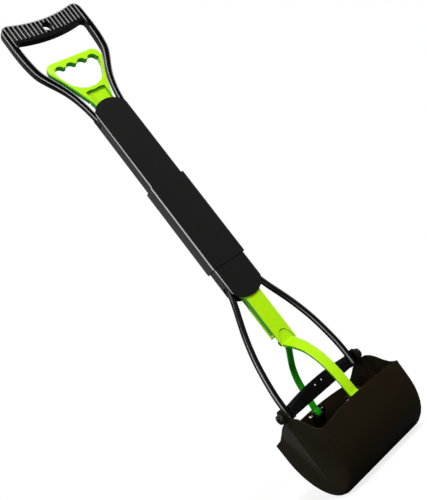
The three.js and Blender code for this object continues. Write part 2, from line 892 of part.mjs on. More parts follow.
// The pull ring with its finger scallops, and the tongue that goes down into the bar
function triggerRing() {
  const height = ringTop - ringFoot;
  const halfWidth = ringHalfWidth(height);
  const cornerZ = ringFoot + height * ringSideShares[0][1];
  const outline = new THREE.Shape();
  const side = mirroredOutline(ringSideShares, halfWidth, ringFoot, height);
  outline.moveTo(-halfWidth + ring.cornerRadius, ringTop);
  outline.quadraticCurveTo(-halfWidth, ringTop, -halfWidth, cornerZ);
  side.slice().reverse().slice(1).forEach(([x, z]) => outline.lineTo(x, z));
  outline.quadraticCurveTo(halfWidth, ringTop, halfWidth - ring.cornerRadius, ringTop);

  const holeTop = ringTop - ring.topBar;
  const holeHalf = halfWidth - ring.side;
  const hole = mirroredOutline(holeSideShares, holeHalf, holeTop - ring.holeFoot, ring.holeFoot);
  const holeCut = prism(
    [[-holeHalf + ring.side, holeTop - ring.scallopDepth], ...hole.slice().reverse(),
      [holeHalf - ring.side, holeTop - ring.scallopDepth]],
    'y',
    -ring.front - fit.overrun,
    ring.depth - ring.front + fit.overrun,
  );
  const scallopCuts = Array.from({ length: ring.scallops }, (_, i) => {
    const x = (i - (ring.scallops - 1) / 2) * ring.scallopPitch;
    return disc(
      [x, holeTop - ring.scallopRadius],
      ring.scallopRadius,
      'y',
      -ring.front - fit.overrun,
      ring.depth - ring.front + fit.overrun,
    );
  });
  const body = prism(outline, 'y', -ring.front, ring.depth - ring.front, ring.edge);
  const tongue = block(
    [-barHalfWidth, barHalfWidth],
    [-ring.front + ring.pocketDepth, ring.depth - ring.front - ring.edge],
    [tongueFoot, ringFoot + ring.slotHeight],
  );
  const blade = block(
    [-ring.bladeHalfWidth, ring.bladeHalfWidth],
    [-ring.bladeHalfDepth, ring.bladeHalfDepth],
    [tongueFoot - ring.bladeDrop, tongueFoot + ring.slotHeight],
  );
  const pocketTop = ringFoot + ring.pocketRise;
  const pocketHalf = ring.pocketHalfWidth;
  const pocketOutline = new THREE.Shape();
  pocketOutline.moveTo(-ring.pocketFootHalfWidth, ringFoot - fit.overrun);
  pocketOutline.lineTo(ring.pocketFootHalfWidth, ringFoot - fit.overrun);
  pocketOutline.lineTo(pocketHalf, pocketTop);
  pocketOutline.quadraticCurveTo(pocketHalf / 2, pocketTop + 2 * ring.pocketHump, 0, pocketTop);
  pocketOutline.quadraticCurveTo(-pocketHalf / 2, pocketTop + 2 * ring.pocketHump, -pocketHalf, pocketTop);
  const pocket = prism(pocketOutline, 'y', -ring.front - fit.overrun, -ring.front + ring.pocketDepth);
  const neckTopShare = ringSideShares.at(-2)[0];
  const snapSlots = bothSides(block(
    [halfWidth * neckTopShare - ring.slotDepth, halfWidth],
    [-ring.front + ring.pocketDepth, ring.depth],
    [ringFoot + ring.slotRise, ringFoot + ring.slotRise + ring.slotHeight],
  ));
  const screwHole = disc(
    [0, tongueFoot - triggerScrew.drop],
    triggerScrew.radius + fit.rest,
    'y',
    -ring.depth,
    ring.depth,
    smallSides,
  );
  return cut(join(cut(body, holeCut, ...scallopCuts, pocket, snapSlots), tongue, blade), screwHole);
}

function triggerScrewSolid() {
  const height = tongueFoot - triggerScrew.drop;
  const back = barHalfDepth;
  return join(
    disc([0, height], triggerScrew.headRadius, 'y', back - triggerScrew.headThickness, back, smallSides),
    disc(
      [0, height],
      triggerScrew.radius,
      'y',
      -barHalfDepth,
      back - triggerScrew.headThickness / 2,
      smallSides,
    ),
  );
}

// An I-section between two heights, with cross ribs
function barSection(from, to) {
  const flange = (y0, y1) => block([-barHalfWidth, barHalfWidth], [y0, y1], [from, to]);
  const webReach = barHalfDepth - bar.flange / 2;
  const ribs = [];
  for (let z = from + bar.ribPitch / 2; z < to - bar.ribPitch / 4; z += bar.ribPitch) {
    ribs.push(block(
      [-barHalfWidth + bar.rib, barHalfWidth - bar.rib],
      [-webReach, webReach],
      [z - bar.rib / 2, z + bar.rib / 2],
    ));
  }
  return join(
    flange(-barHalfDepth, -barHalfDepth + bar.flange),
    flange(barHalfDepth - bar.flange, barHalfDepth),
    block([-bar.web / 2, bar.web / 2], [-webReach, webReach], [from, to]),
    ...ribs,
  );
}

// An ear that reaches from a bar's end block to the bars' hinge; direction is 1 above the fold, -1 below
function barEar(xFrom, xTo, direction) {
  const blockEdge = level.fold + direction * bar.endGap;
  const reach = foldHinge.knuckleRadius * Math.SQRT1_2;
  const points = [
    [barHalfDepth - bar.flange, blockEdge],
    [foldAxisY - reach, level.fold - direction * reach],
    [foldAxisY + reach, level.fold + direction * reach],
    [barHalfDepth, blockEdge + direction * bar.earFoot],
    [barHalfDepth - bar.flange, blockEdge + direction * bar.earFoot],
  ];
  return join(
    disc([foldAxisY, level.fold], foldHinge.knuckleRadius, 'x', xFrom, xTo, smallSides),
    prism(direction > 0 ? points : points.reverse(), 'x', xFrom, xTo),
  );
}

function barHingeHole() {
  return disc(
    [foldAxisY, level.fold],
    bar.hingePinRadius + fit.rest,
    'x',
    -barHalfWidth,
    barHalfWidth,
    smallSides,
  );
}

function upperPullBar() {
  const foot = level.fold + bar.endGap;
  const earOut = bar.endBlockHalfWidth;
  const tongueRoom = block(
    [-ring.bladeHalfWidth - fit.rest, ring.bladeHalfWidth + fit.rest],
    [-ring.bladeHalfDepth - fit.rest, ring.bladeHalfDepth + fit.rest],
    [tongueFoot - ring.bladeDrop - fit.rest, upperBarTop + fit.overrun],
  );
  const screwSeat = join(
    disc(
      [0, tongueFoot - triggerScrew.drop],
      triggerScrew.radius + fit.rest,
      'y',
      -barHalfDepth - fit.overrun,
      barHalfDepth,
      smallSides,
    ),
    disc(
      [0, tongueFoot - triggerScrew.drop],
      triggerScrew.headRadius + fit.rest,
      'y',
      barHalfDepth - triggerScrew.headThickness - fit.rest,
      barHalfDepth + fit.overrun,
      smallSides,
    ),
  );
  const screwBlock = block(
    [-ring.bladeHalfWidth - bar.rib, ring.bladeHalfWidth + bar.rib],
    [-barHalfDepth + bar.flange / 2, barHalfDepth - bar.flange / 2],
    [tongueFoot - ring.bladeDrop - bar.rib, upperBarTop],
  );
  return cut(
    join(
      barSection(foot, upperBarTop),
      cut(screwBlock, tongueRoom),
      block([-earOut, earOut], [-barHalfDepth, barHalfDepth], [foot, foot + bar.endBlock]),
      bothSides(barEar(bar.middleEarHalfWidth + foldHinge.knuckleGap, earOut, 1)),
    ),
    tongueRoom,
    screwSeat,
    barHingeHole(),
  );
}

function barHingePin() {
  return disc(
    [foldAxisY, level.fold],
    bar.hingePinRadius,
    'x',
    -bar.endBlockHalfWidth,
    bar.endBlockHalfWidth,
    smallSides,
  );
}

const barLugStart = rearLinkWidth.half + link.cheekGap;
const barLugEnd = barLugStart + bar.lugThickness;
const cheekStart = barLugEnd + link.cheekGap;
const cheekEnd = windowHalf - 2 * fit.run;

// The lower bar ends in two lugs for the links' pin, behind an arched window in its front flange
function lowerPullBar() {
  const top = level.fold - bar.endGap;
  const pinZ = linkTop;
  const foot = pinZ - bar.legFoot;
  const blockFoot = pinZ + bar.lugBlockRise;
  const blockTop = blockFoot + bar.lugBlockHeight;
  const windowShape = new THREE.Shape();
  windowShape.moveTo(windowHalf, foot);
  windowShape.absellipse(0, foot, windowHalf, bar.windowRise, 0, Math.PI, false);
  windowShape.lineTo(-windowHalf, foot - fit.overrun);
  windowShape.lineTo(windowHalf, foot - fit.overrun);
  const tongueWindow = prism(windowShape, 'y', -barHalfDepth - fit.overrun, -bar.lugBlockFront);
  const linkRoom = block(
    [-barHalfWidth - fit.overrun, barHalfWidth + fit.overrun],
    [-barHalfDepth + bar.flange, barHalfDepth + fit.overrun],
    [foot - fit.overrun, blockFoot],
  );
  const lugOutline = [
    [-bar.lugBlockFront, blockTop],
    [-bar.lugBlockFront, pinZ],
    [bar.lugRadius, pinZ],
    [bar.lugRadius, blockTop],
  ];
  const lugs = bothSides(join(
    disc([0, pinZ], bar.lugRadius, 'x', barLugStart, barLugEnd, smallSides),
    prism(lugOutline, 'x', barLugStart, barLugEnd),
  ));
  return cut(
    join(
      cut(barSection(foot, top), tongueWindow, linkRoom),
      block([-barHalfWidth, barHalfWidth], [-bar.lugBlockFront, barHalfDepth], [blockFoot, blockTop]),
      lugs,
      block(
        [-bar.endBlockHalfWidth, bar.endBlockHalfWidth],
        [-barHalfDepth, barHalfDepth],
        [top - bar.endBlock, top],
      ),
      barEar(-bar.middleEarHalfWidth, bar.middleEarHalfWidth, -1),
    ),
    barHingeHole(),
    disc([0, pinZ], link.pinRadius + fit.rest, 'x', -barHalfWidth, barHalfWidth, smallSides),
  );
}

function linkPivotPin() {
  return disc([0, linkTop], link.pinRadius, 'x', -cheekEnd, cheekEnd, smallSides);
}

// The side view of a link that runs towards +Y: a strip along its shares, thick where they say so
function linkStrip(shares) {
  const drop = linkTop - linkPinHeight;
  const route = new THREE.SplineCurve(shares.map(([outShare, dropShare]) => new THREE.Vector2(
    jaw.linkPinOut * outShare,
    linkTop - drop * dropShare,
  )));
  const spans = shares.length - 1;
  const steps = 2 * spans;
  const edge = (side) => Array.from({ length: steps + 1 }, (_, i) => {
    const span = Math.min(Math.floor(i / 2), spans - 1);
    const thickShare = THREE.MathUtils.lerp(shares[span][2], shares[span + 1][2], i / 2 - span);
    const point = route.getPoint(i / steps);
    const heading = route.getTangent(i / steps);
    const offset = side * link.halfThickness * thickShare;
    return [point.x - heading.y * offset, point.y + heading.x * offset];
  });
  return [...edge(1), ...edge(-1).reverse()];
}

// The squared foot of a link, round the jaw's pin
function linkFoot(inward, halfWidth) {
  const outline = [
    [jaw.linkPinOut - inward, linkPinHeight - link.footBelow],
    [jaw.linkPinOut + link.footOutward, linkPinHeight - link.footBelow],
    [jaw.linkPinOut + link.footOutward, linkPinHeight + link.footAbove],
    [jaw.linkPinOut - inward, linkPinHeight + link.footAbove],
  ];
  return prism(outline, 'x', -halfWidth, halfWidth);
}

function linkPinHoles() {
  const centres = [[0, linkTop], [jaw.linkPinOut, linkPinHeight]];
  return centres.map((centre) => disc(
    centre,
    link.pinRadius + fit.rest,
    'x',
    -cheekEnd - fit.overrun,
    cheekEnd + fit.overrun,
    smallSides,
  ));
}

// The front link: a flat tongue that fills the window in the bar's front flange, two cheeks on the pin
// outside the bar's lugs, and a strip that narrows towards its foot. Made towards +Y and mirrored.
function frontLink() {
  const foot = linkTop - bar.legFoot;
  const tongueFront = barHalfDepth - link.tongueRecess;
  const tongueBack = tongueFront - link.tongueThickness;
  const tongue = new THREE.Shape();
  tongue.moveTo(cheekEnd, foot);
  tongue.absellipse(0, foot, cheekEnd, bar.windowRise - fit.run, 0, Math.PI, false);
  const frontView = [
    [-frontLinkWidth.foot, linkPinHeight - link.footBelow - fit.overrun],
    [frontLinkWidth.foot, linkPinHeight - link.footBelow - fit.overrun],
    [frontLinkWidth.shoulder, foot - frontLinkWidth.shoulderDrop],
    [cheekEnd, foot],
    [cheekEnd, foot + fit.overrun],
    [-cheekEnd, foot + fit.overrun],
    [-cheekEnd, foot],
    [-frontLinkWidth.shoulder, foot - frontLinkWidth.shoulderDrop],
  ];
  const cheekOutline = [
    [0, linkTop + link.eyeRadius],
    [-link.eyeRadius * Math.SQRT1_2, linkTop - link.eyeRadius * Math.SQRT1_2],
    [jaw.linkPinOut * frontLinkShares[2][0], foot - link.eyeRadius],
    [tongueFront, foot],
    [tongueBack, foot + link.tongueThickness],
    [tongueBack, linkTop],
  ];
  const cheeks = bothSides(join(
    disc([0, linkTop], link.eyeRadius, 'x', cheekStart, cheekEnd, smallSides),
    prism(cheekOutline, 'x', cheekStart, cheekEnd),
  ));
  const strip = prism(linkStrip(frontLinkShares), 'x', -cheekEnd, cheekEnd)
    .intersect(prism(frontView, 'y', -jaw.radius, jaw.radius));
  const solid = cut(
    join(
      strip,
      prism(tongue, 'y', tongueBack, tongueFront),
      cheeks,
      linkFoot(frontLinkWidth.footInward, frontLinkWidth.foot),
    ),
    ...linkPinHoles(),
  );
  return toSide(solid, -1, 1);
}

function rearLink() {
  const half = rearLinkWidth.half;
  return cut(
    join(
      prism(linkStrip(rearLinkShares), 'x', -half, half),
      disc([0, linkTop], link.eyeRadius, 'x', -half, half),
      linkFoot(rearLinkWidth.footInward, half),
    ),
    ...linkPinHoles(),
  );
}

// The pin at a link's foot, with a head outside each of the jaw's lugs
function linkFootPin(side) {
  const centre = [side * jaw.linkPinOut, linkPinHeight];
  const headStart = lugStart + jaw.lugThickness + fit.run;
  const headEnd = headStart + link.pinHeadThickness;
  const shankEnd = headEnd - link.pinHeadThickness / 2;
  return join(
    disc(centre, link.pinRadius, 'x', -shankEnd, shankEnd, smallSides),
    bothSides(disc(centre, link.pinHeadRadius, 'x', headStart, headEnd, smallSides)),
  );
}

// The drum's outline in the side view, grown or shrunk by an inset, open well above the rim
function drumOutline(inset) {
  const radius = jaw.radius - inset;
  const lean = jaw.radius + jaw.topLean - inset;
  const top = level.jawPivot + jaw.earRadius + fit.overrun;
  const outline = new THREE.Shape();
  outline.moveTo(-lean, top);
  outline.lineTo(-lean, rimHeight);
  outline.lineTo(-radius, jaw.radius);
  outline.absarc(0, jaw.radius, radius, Math.PI, 2 * Math.PI, false);
  outline.lineTo(lean, rimHeight);
  outline.lineTo(lean, top);
  return outline;
}

// A shell with its end edges rounded
function drumSolid(inset, round) {
  return prism(drumOutline(inset), 'x', -jaw.halfWidth + inset, jaw.halfWidth - inset, round);
}

// The side view of the jaw that lies towards +Y: below the rim, and below the side walls' upper edge
function jawSideView(edgeShares) {
  const depth = jaw.radius + jaw.topLean;
  const rise = level.jawPivot - rimHeight;
  return [
    [jaw.seam / 2, -fit.overrun],
    [depth + fit.overrun, -fit.overrun],
    [depth + fit.overrun, rimHeight + jaw.rimRise],
    [depth - jaw.wall - fit.rest, rimHeight + jaw.rimRise],
    [depth - jaw.wall - fit.rest, rimHeight],
    ...edgeShares.map(([depthShare, riseShare]) => [depth * depthShare, rimHeight + rise * riseShare]),
    [jaw.seam / 2, level.jawPivot],
  ];
}

// What is cut off above the panel's rim, which rises to its middle
function aboveRim() {
  const reach = jaw.halfWidth + fit.overrun;
  const top = rimHeight + jaw.rimRise + fit.overrun;
  const outline = new THREE.Shape();
  outline.moveTo(-reach, rimHeight);
  outline.lineTo(-jaw.halfWidth, rimHeight);
  outline.quadraticCurveTo(0, rimHeight + 2 * jaw.rimRise, jaw.halfWidth, rimHeight);
  outline.lineTo(reach, rimHeight);
  outline.lineTo(reach, top);
  outline.lineTo(-reach, top);
  return prism(outline, 'y', jaw.radius - jaw.wall - fit.rest, jaw.radius + jaw.topLean + fit.overrun);
}

// Two lugs inside the panel; their slots let the link's pin run in and out as the jaw swings
function jawLugs() {
  const pin = [jaw.linkPinOut, linkPinHeight];
  const toPivot = new THREE.Vector2(-pin[0], level.jawPivot - pin[1]).normalize();
  const inner = [pin[0] + toPivot.x * jaw.slotInward, pin[1] + toPivot.y * jaw.slotInward];
  const slotRadius = link.pinRadius + jaw.slotSlack;
  const lugRadius = slotRadius + jaw.lugWall;
  const start = lugStart;
  const end = start + jaw.lugThickness;
  const wallY = jaw.radius + jaw.topLean - jaw.wall * 0.6;
  const body = [
    [inner[0], inner[1] - lugRadius],
    [wallY - jaw.topLean, jaw.radius],
    [wallY, rimHeight - jaw.wall],
    [pin[0], pin[1] + lugRadius],
  ];
  return {
    lugs: bothSides(join(
      prism(capsule(pin, inner, lugRadius), 'x', start, end),
      prism(body, 'x', start, end),
    )),
    slots: bothSides(prism(capsule(pin, inner, slotRadius), 'x', start - fit.overrun, end + fit.overrun)),
  };
}

// The jaw towards +Y. The ears of one jaw lie inside those of the other at each pivot.
function jawHalf(earsInside) {
  const shell = cut(drumSolid(0, jaw.endRound), drumSolid(jaw.wall, jaw.endRound - jaw.wall));
  const reach = jaw.halfWidth + fit.overrun;
  const pivotPoint = [0, level.jawPivot];
  const wallInside = jaw.halfWidth - jaw.wall;
  const edgeShares = earsInside ? rearSideEdgeShares : sideEdgeShares;
  const sideView = cut(prism(jawSideView(edgeShares), 'x', -reach, reach), aboveRim());
  const earDisc = (from, to) => bothSides(disc(pivotPoint, jaw.earRadius, 'x', from, to, roundSides));
  const bore = disc(pivotPoint, pivot.pinRadius + fit.rest, 'x', -reach, reach, smallSides);
  const { lugs, slots } = jawLugs();
  if (!earsInside) {
    return cut(join(shell.intersect(sideView), earDisc(wallInside, jaw.halfWidth), lugs), slots, bore);
  }
  const otherEarRoom = bothSides(disc(
    pivotPoint,
    jaw.earRadius + fit.run,
    'x',
    wallInside - jaw.earGap,
    reach,
    roundSides,
  ));
  const earOut = wallInside - jaw.earGap;
  const earIn = earOut - jaw.wall;
  const depth = jaw.radius + jaw.topLean;
  const rise = level.jawPivot - rimHeight;
  const [farDepthShare, farRiseShare] = edgeShares[3];
  const [nearDepthShare, nearRiseShare] = edgeShares[5];
  const tab = [
    [jaw.seam, level.jawPivot - 3 * jaw.earRadius],
    [depth * farDepthShare, level.jawPivot - 3 * jaw.earRadius],
    [depth * farDepthShare, rimHeight + rise * farRiseShare - jaw.wall],
    [depth * nearDepthShare, rimHeight + rise * nearRiseShare - jaw.wall],
    [jaw.seam, level.jawPivot - jaw.wall],
  ];
  const tabs = bothSides(cut(prism(tab, 'x', earIn, wallInside + jaw.wall / 2), otherEarRoom));
  return cut(
    join(cut(shell.intersect(sideView), otherEarRoom), earDisc(earIn, earOut), tabs, lugs),
    slots,
    bore,
  );
}

function frontJaw() {
  return toSide(jawHalf(false), -1, 1);
}

function rearJaw() {
  return jawHalf(true);
}

// A rod: straight inside the shaft, out at the shoulder, and down to the pivot
function sideRod(side) {
  const drop = level.lowerShoulder - level.jawPivot;
  const spread = footSpread - railSpread;
  const run = rodRunShares.map(([dropShare, spreadShare]) => [
    railSpread + spread * spreadShare,
    level.lowerShoulder - drop * dropShare,
    rod.radius,
    rod.radius,
  ]);
  const top = [railSpread, lowerCut - rod.belowFold, rod.radius, rod.radius];
  const foot = [footSpread, level.jawPivot - rod.footBelowPivot, rod.radius, rod.radius];
  const solid = cut(
    sweptBar([foot, ...run.reverse(), top], rod.stepsPerSpan, rod.sides, 1),
    disc([0, level.jawPivot], pivot.pinRadius + fit.rest, 'x', -jaw.halfWidth, jaw.halfWidth, smallSides),
    ...screwHoles(lowerScrewHeights),
  );
  return toSide(solid, side);
}

// The cross bar joins the rods' feet. A saddle at each end holds the rod from behind.
function crossBarSolid() {
  const pivotZ = level.jawPivot;
  const saddleNear = footSpread - rod.radius - crossBar.saddleSide - fit.rest;
  const plate = new THREE.Shape();
  plate.moveTo(-saddleNear - fit.overrun / 2, pivotZ - crossBar.foot);
  plate.lineTo(saddleNear + fit.overrun / 2, pivotZ - crossBar.foot);
  plate.lineTo(saddleNear + fit.overrun / 2, pivotZ + crossBar.endTop);
  plate.quadraticCurveTo(
    0,
    pivotZ + 2 * crossBar.middleTop - crossBar.endTop,
    -saddleNear - fit.overrun / 2,
    pivotZ + crossBar.endTop,
  );
  const saddles = bothSides(block(
    [saddleNear, blockFar],
    [-crossBar.saddleFront, crossBar.saddleBack],
    [pivotZ - crossBar.saddleFoot, pivotZ + crossBar.saddleTop],
  ));
  const rodRoom = bothSides(join(
    disc(
      [footSpread, 0],
      rod.radius + fit.rest,
      'z',
      pivotZ - rod.footBelowPivot - fit.rest,
      pivotZ + crossBar.saddleTop + fit.overrun,
    ),
    block(
      [footSpread - rod.radius - fit.rest, footSpread + rod.radius + fit.rest],
      [-crossBar.saddleFront - fit.overrun, 0],
      [pivotZ - rod.footBelowPivot - fit.rest, pivotZ + crossBar.saddleTop + fit.overrun],
    ),
  ));
  const smallHoles = bothSides(disc(
    [crossBar.holeSpread, pivotZ + crossBar.holeAbovePivot],
    crossBar.holeRadius,
    'y',
    -crossBar.halfThickness - fit.overrun,
    crossBar.halfThickness + fit.overrun,
    smallSides,
  ));
  return cut(
    join(prism(plate, 'y', -crossBar.halfThickness, crossBar.halfThickness), saddles),
    rodRoom,
    smallHoles,
    bothSides(disc(
      [0, pivotZ],
      pivot.pinRadius + fit.rest,
      'x',
      saddleNear,
      blockFar + fit.overrun,
      smallSides,
    )),
  );
}

const saddleInside = footSpread - rod.radius - crossBar.saddleSide - fit.rest;
const coilStart = jaw.halfWidth + fit.rest + spring.wireRadius;
const coilEnd = coilStart + spring.pitch * spring.curls;
const headStart = coilEnd + spring.wireRadius + fit.rest;

// A rivet through the rod's foot, the saddle, both jaws' ears and the spring
function pivotPin(side) {
  const centre = [0, level.jawPivot];
  return toSide(join(
    disc(
      centre,
      pivot.pinRadius,
      'x',
      saddleInside + fit.rest,
      headStart + pivot.headThickness / 2,
      smallSides,
    ),
    disc(centre, pivot.headRadius, 'x', headStart, headStart + pivot.headThickness),
  ), side);
}

// The wire's middle line: a leg along one jaw's side, the curls, and a leg along the other jaw's side
function springLine() {
  const steps = spring.curls * spring.stepsPerCurl;
  const firstAngle = 1.5 * Math.PI + spring.legAngle;
  const curls = Array.from({ length: steps + 1 }, (_, i) => {
    const angle = firstAngle + (2 * Math.PI * i) / spring.stepsPerCurl;
    return new THREE.Vector3(
      coilStart + (spring.pitch * i) / spring.stepsPerCurl,
      spring.coilRadius * Math.cos(angle),
      level.jawPivot + spring.coilRadius * Math.sin(angle),
    );
  });
  const leg = (point, angle, turn) => new THREE.Vector3(
    point.x,
    point.y + turn * spring.legLength * Math.sin(angle),
    point.z - turn * spring.legLength * Math.cos(angle),
  );
  const first = curls[0];
  const last = curls[curls.length - 1];
  const lastAngle = firstAngle + (2 * Math.PI * steps) / spring.stepsPerCurl;
  return [leg(first, firstAngle, 1), ...curls, leg(last, lastAngle, -1)];
}

function springTube(points) {
  const rings = points.map((point, i) => {
    const before = points[Math.max(i - 1, 0)];
    const after = points[Math.min(i + 1, points.length - 1)];
    const heading = after.clone().sub(before).normalize();
    const across = new THREE.Vector3(1, 0, 0).cross(heading).normalize();
    const up = heading.clone().cross(across).normalize();
    return Array.from({ length: spring.sides }, (_, k) => {
      const angle = (2 * Math.PI * k) / spring.sides;
      return point.clone()
        .addScaledVector(across, spring.wireRadius * Math.cos(angle))
        .addScaledVector(up, spring.wireRadius * Math.sin(angle));
    });
  });
  return loft(rings);
}

// Least gap of the wire to itself, between points at least half a curl apart along it
function springGap(points) {
  let least = Infinity;
  const apart = spring.stepsPerCurl / 2;
  const stepShares = [0, 0.25, 0.5, 0.75];
  const fine = points.slice(0, -1).flatMap((point, i) => stepShares.map((share) => ({
    at: i + share,
    spot: point.clone().lerp(points[i + 1], share),
  })));
  fine.forEach((one, i) => {
    fine.slice(i + 1).forEach((other) => {
      if (other.at - one.at >= apart) {
        least = Math.min(least, one.spot.distanceTo(other.spot) - 2 * spring.wireRadius);
      }
    });
  });
  return least;
}

const springPoints = springLine();
console.log(`spring's least gap to itself: ${springGap(springPoints).toFixed(2)} mm`);

const scooper = new THREE.Group();
scooper.name = 'pooper_scooper';

function addPiece(name, solid, finish) {
  const mesh = new THREE.Mesh(toGeometry(solid), new THREE.MeshStandardMaterial(finish));
  mesh.name = name;
  scooper.add(mesh);
}

const upper = upperCovers();
const lower = lowerCovers();
addPiece('grip_frame', gripFrame(), glossBlack);
addPiece('upper_front_cover', upper.front, satinBlack);
addPiece('upper_rear_cover', upper.rear, satinBlack);
const [middleScrewHeight, topScrewHeight] = upperScrewHeights;
addPiece('top_left_screw', coverScrewSolid(-1, topScrewHeight), darkSteel);
addPiece('top_right_screw', coverScrewSolid(1, topScrewHeight), darkSteel);
addPiece('middle_left_screw', coverScrewSolid(-1, middleScrewHeight), darkSteel);
addPiece('middle_right_screw', coverScrewSolid(1, middleScrewHeight), darkSteel);
addPiece('left_fold_pin', foldPin(-1), brightSteel);
addPiece('right_fold_pin', foldPin(1), brightSteel);
addPiece('locking_sleeve', lockingSleeve(), satinBlack);
addPiece('trigger_ring', triggerRing(), limeGreen);
addPiece('trigger_screw', triggerScrewSolid(), darkSteel);
addPiece('upper_pull_bar', upperPullBar(), limeGreen);
addPiece('pull_bar_hinge_pin', barHingePin(), brightSteel);
addPiece('lower_front_cover', lower.front, satinBlack);
addPiece('lower_rear_cover', lower.rear, satinBlack);
const [lowerScrewHeight] = lowerScrewHeights;
addPiece('lower_left_screw', coverScrewSolid(-1, lowerScrewHeight), darkSteel);
addPiece('lower_right_screw', coverScrewSolid(1, lowerScrewHeight), darkSteel);
addPiece('left_rod', sideRod(-1), glossBlack);
addPiece('right_rod', sideRod(1), glossBlack);
addPiece('cross_bar', crossBarSolid(), glossBlack);
addPiece('left_pivot_pin', pivotPin(-1), glossBlack);
addPiece('right_pivot_pin', pivotPin(1), glossBlack);
addPiece('left_jaw_spring', toSide(springTube(springPoints), -1), darkSteel);
addPiece('right_jaw_spring', springTube(springPoints), darkSteel);
addPiece('lower_pull_bar', lowerPullBar(), limeGreen);
addPiece('link_pivot_pin', linkPivotPin(), brightSteel);
addPiece('front_link', frontLink(), limeGreen);
addPiece('rear_link', rearLink(), limeGreen);
addPiece('front_link_pin', linkFootPin(-1), brightSteel);
addPiece('rear_link_pin', linkFootPin(1), brightSteel);
addPiece('front_jaw', frontJaw(), bucketBlack);
addPiece('rear_jaw', rearJaw(), bucketBlack);

export default scooper;
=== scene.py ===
"""Looks of a folding pet-waste scooper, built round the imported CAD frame.

Lengths in the classes are millimetres in the part's own frame, +Z up the handle and the front towards -Y.
A finished mesh is scaled to metres once, and its object stays at the origin.
"""

import logging
import math
from dataclasses import dataclass, field
from enum import Enum
from typing import Callable, Iterable, Sequence

import bmesh
import bpy
from mathutils import Matrix, Vector

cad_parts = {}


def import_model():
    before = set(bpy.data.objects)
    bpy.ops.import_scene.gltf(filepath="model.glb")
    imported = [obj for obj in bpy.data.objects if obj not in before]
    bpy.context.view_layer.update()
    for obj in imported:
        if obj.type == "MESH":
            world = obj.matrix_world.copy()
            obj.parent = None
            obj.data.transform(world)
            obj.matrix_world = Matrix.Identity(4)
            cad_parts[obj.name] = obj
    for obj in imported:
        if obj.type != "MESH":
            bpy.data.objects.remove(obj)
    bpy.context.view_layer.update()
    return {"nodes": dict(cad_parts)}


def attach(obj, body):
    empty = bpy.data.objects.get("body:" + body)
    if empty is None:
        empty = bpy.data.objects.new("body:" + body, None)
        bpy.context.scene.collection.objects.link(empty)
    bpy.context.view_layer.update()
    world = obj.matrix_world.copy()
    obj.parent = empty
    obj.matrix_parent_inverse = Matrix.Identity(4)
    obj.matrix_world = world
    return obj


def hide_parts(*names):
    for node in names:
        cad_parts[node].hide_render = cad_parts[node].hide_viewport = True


LOG = logging.getLogger("scooper")

# One millimetre in metres, then tolerances and steps that several shapes share
METRE = 0.001
NEAR = 1e-4
WELD_M = 2e-6
FLAT_DEGREES = 1.0
CORNER_DEGREES = 35.0
CORNER_RADIANS = 0.6
BLOCK_POWER = 0.36
CHORD_SHARE = 0.01
ROUND_SIDES = 32
EDGE_STEPS = 2

# Names for types
Solid = bmesh.types.BMesh
Piece = bpy.types.Object
Tree = bpy.types.NodeTree
Socket = bpy.types.NodeSocket
Point = tuple[float, float]
Share = Sequence[float]
Triple = tuple[float, float, float]
EdgeTest = Callable[[bmesh.types.BMEdge], bool]
Section = Callable[[float, float], Point]

# Heights that several pieces share
PIVOT_Z = 108.4
LOWER_SHOULDER_Z = 262.8
UPPER_SHOULDER_Z = 536.0
GRIP_TOP_Z = 704.7
RAIL_X = 18.6
LINK_TOP_Z = 176.0
LINK_OUT = 48.5
LINK_FOOT_Z = 80.0


class Axis(Enum):
    """The direction that a drawing is extruded along."""

    X = 0
    Y = 1
    Z = 2


class Combine(Enum):
    """How a tool solid acts on a body."""

    CUT = "DIFFERENCE"
    JOIN = "UNION"


def mix(low: float, high: float, share: float) -> float:
    """Value between low and high at a share of the way."""
    return low + (high - low) * share


def spot(a: float, b: float, axis: Axis, depth: float) -> Vector:
    """Place in space of a drawing's point.

    Args:
        a: First coordinate in the drawing.
        b: Second coordinate in the drawing.
        axis: Direction across the drawing.
        depth: Place along that direction.

    Returns:
        The point in the part's frame.
    """
    if axis is Axis.X:
        return Vector((depth, a, b))
    if axis is Axis.Y:
        return Vector((a, depth, b))
    return Vector((a, b, depth))


def curve(start: Point, pull: Point, end: Point, steps: int) -> list[Point]:
    """Points of a quadratic curve, without its last one.

    Args:
        start: First point.
        pull: Point that the curve bends towards.
        end: Last point.
        steps: Number of points.

    Returns:
        The points in order.
    """
    points = []
    for i in range(steps):
        t = i / steps
        points.append(tuple(
            (1 - t) ** 2 * p + 2 * t * (1 - t) * q + t * t * r for p, q, r in zip(start, pull, end)
        ))
    return points


def other_side(points: Sequence[Point]) -> list[Point]:
    """The points on the other side of the middle, in the order that goes on from them."""
    return [(-x, z) for x, z in reversed(points)]


def scaled(points: Sequence[Point], width: float, start: float, height: float) -> list[Point]:
    """Points given as shares of a width and of a height that is counted from a start."""
    return [(width * a, start + height * b) for a, b in points]


def prism(outline: Sequence[Point], axis: Axis, low: float, high: float) -> Solid:
    """Extrudes a closed outline.

    Args:
        outline: Points of the drawing in order.
        axis: Direction to extrude along.
        low: Start of the solid on that axis.
        high: End of the solid on that axis.

    Returns:
        The closed solid.
    """
    bm = bmesh.new()
    face = bm.faces.new([bm.verts.new(spot(a, b, axis, low)) for a, b in outline])
    grown = bmesh.ops.extrude_face_region(bm, geom=[face], use_keep_orig=True)
    moved = [item for item in grown["geom"] if isinstance(item, bmesh.types.BMVert)]
    bmesh.ops.translate(bm, verts=moved, vec=spot(0, 0, axis, high - low))
    bmesh.ops.recalc_face_normals(bm, faces=bm.faces)
    return bm


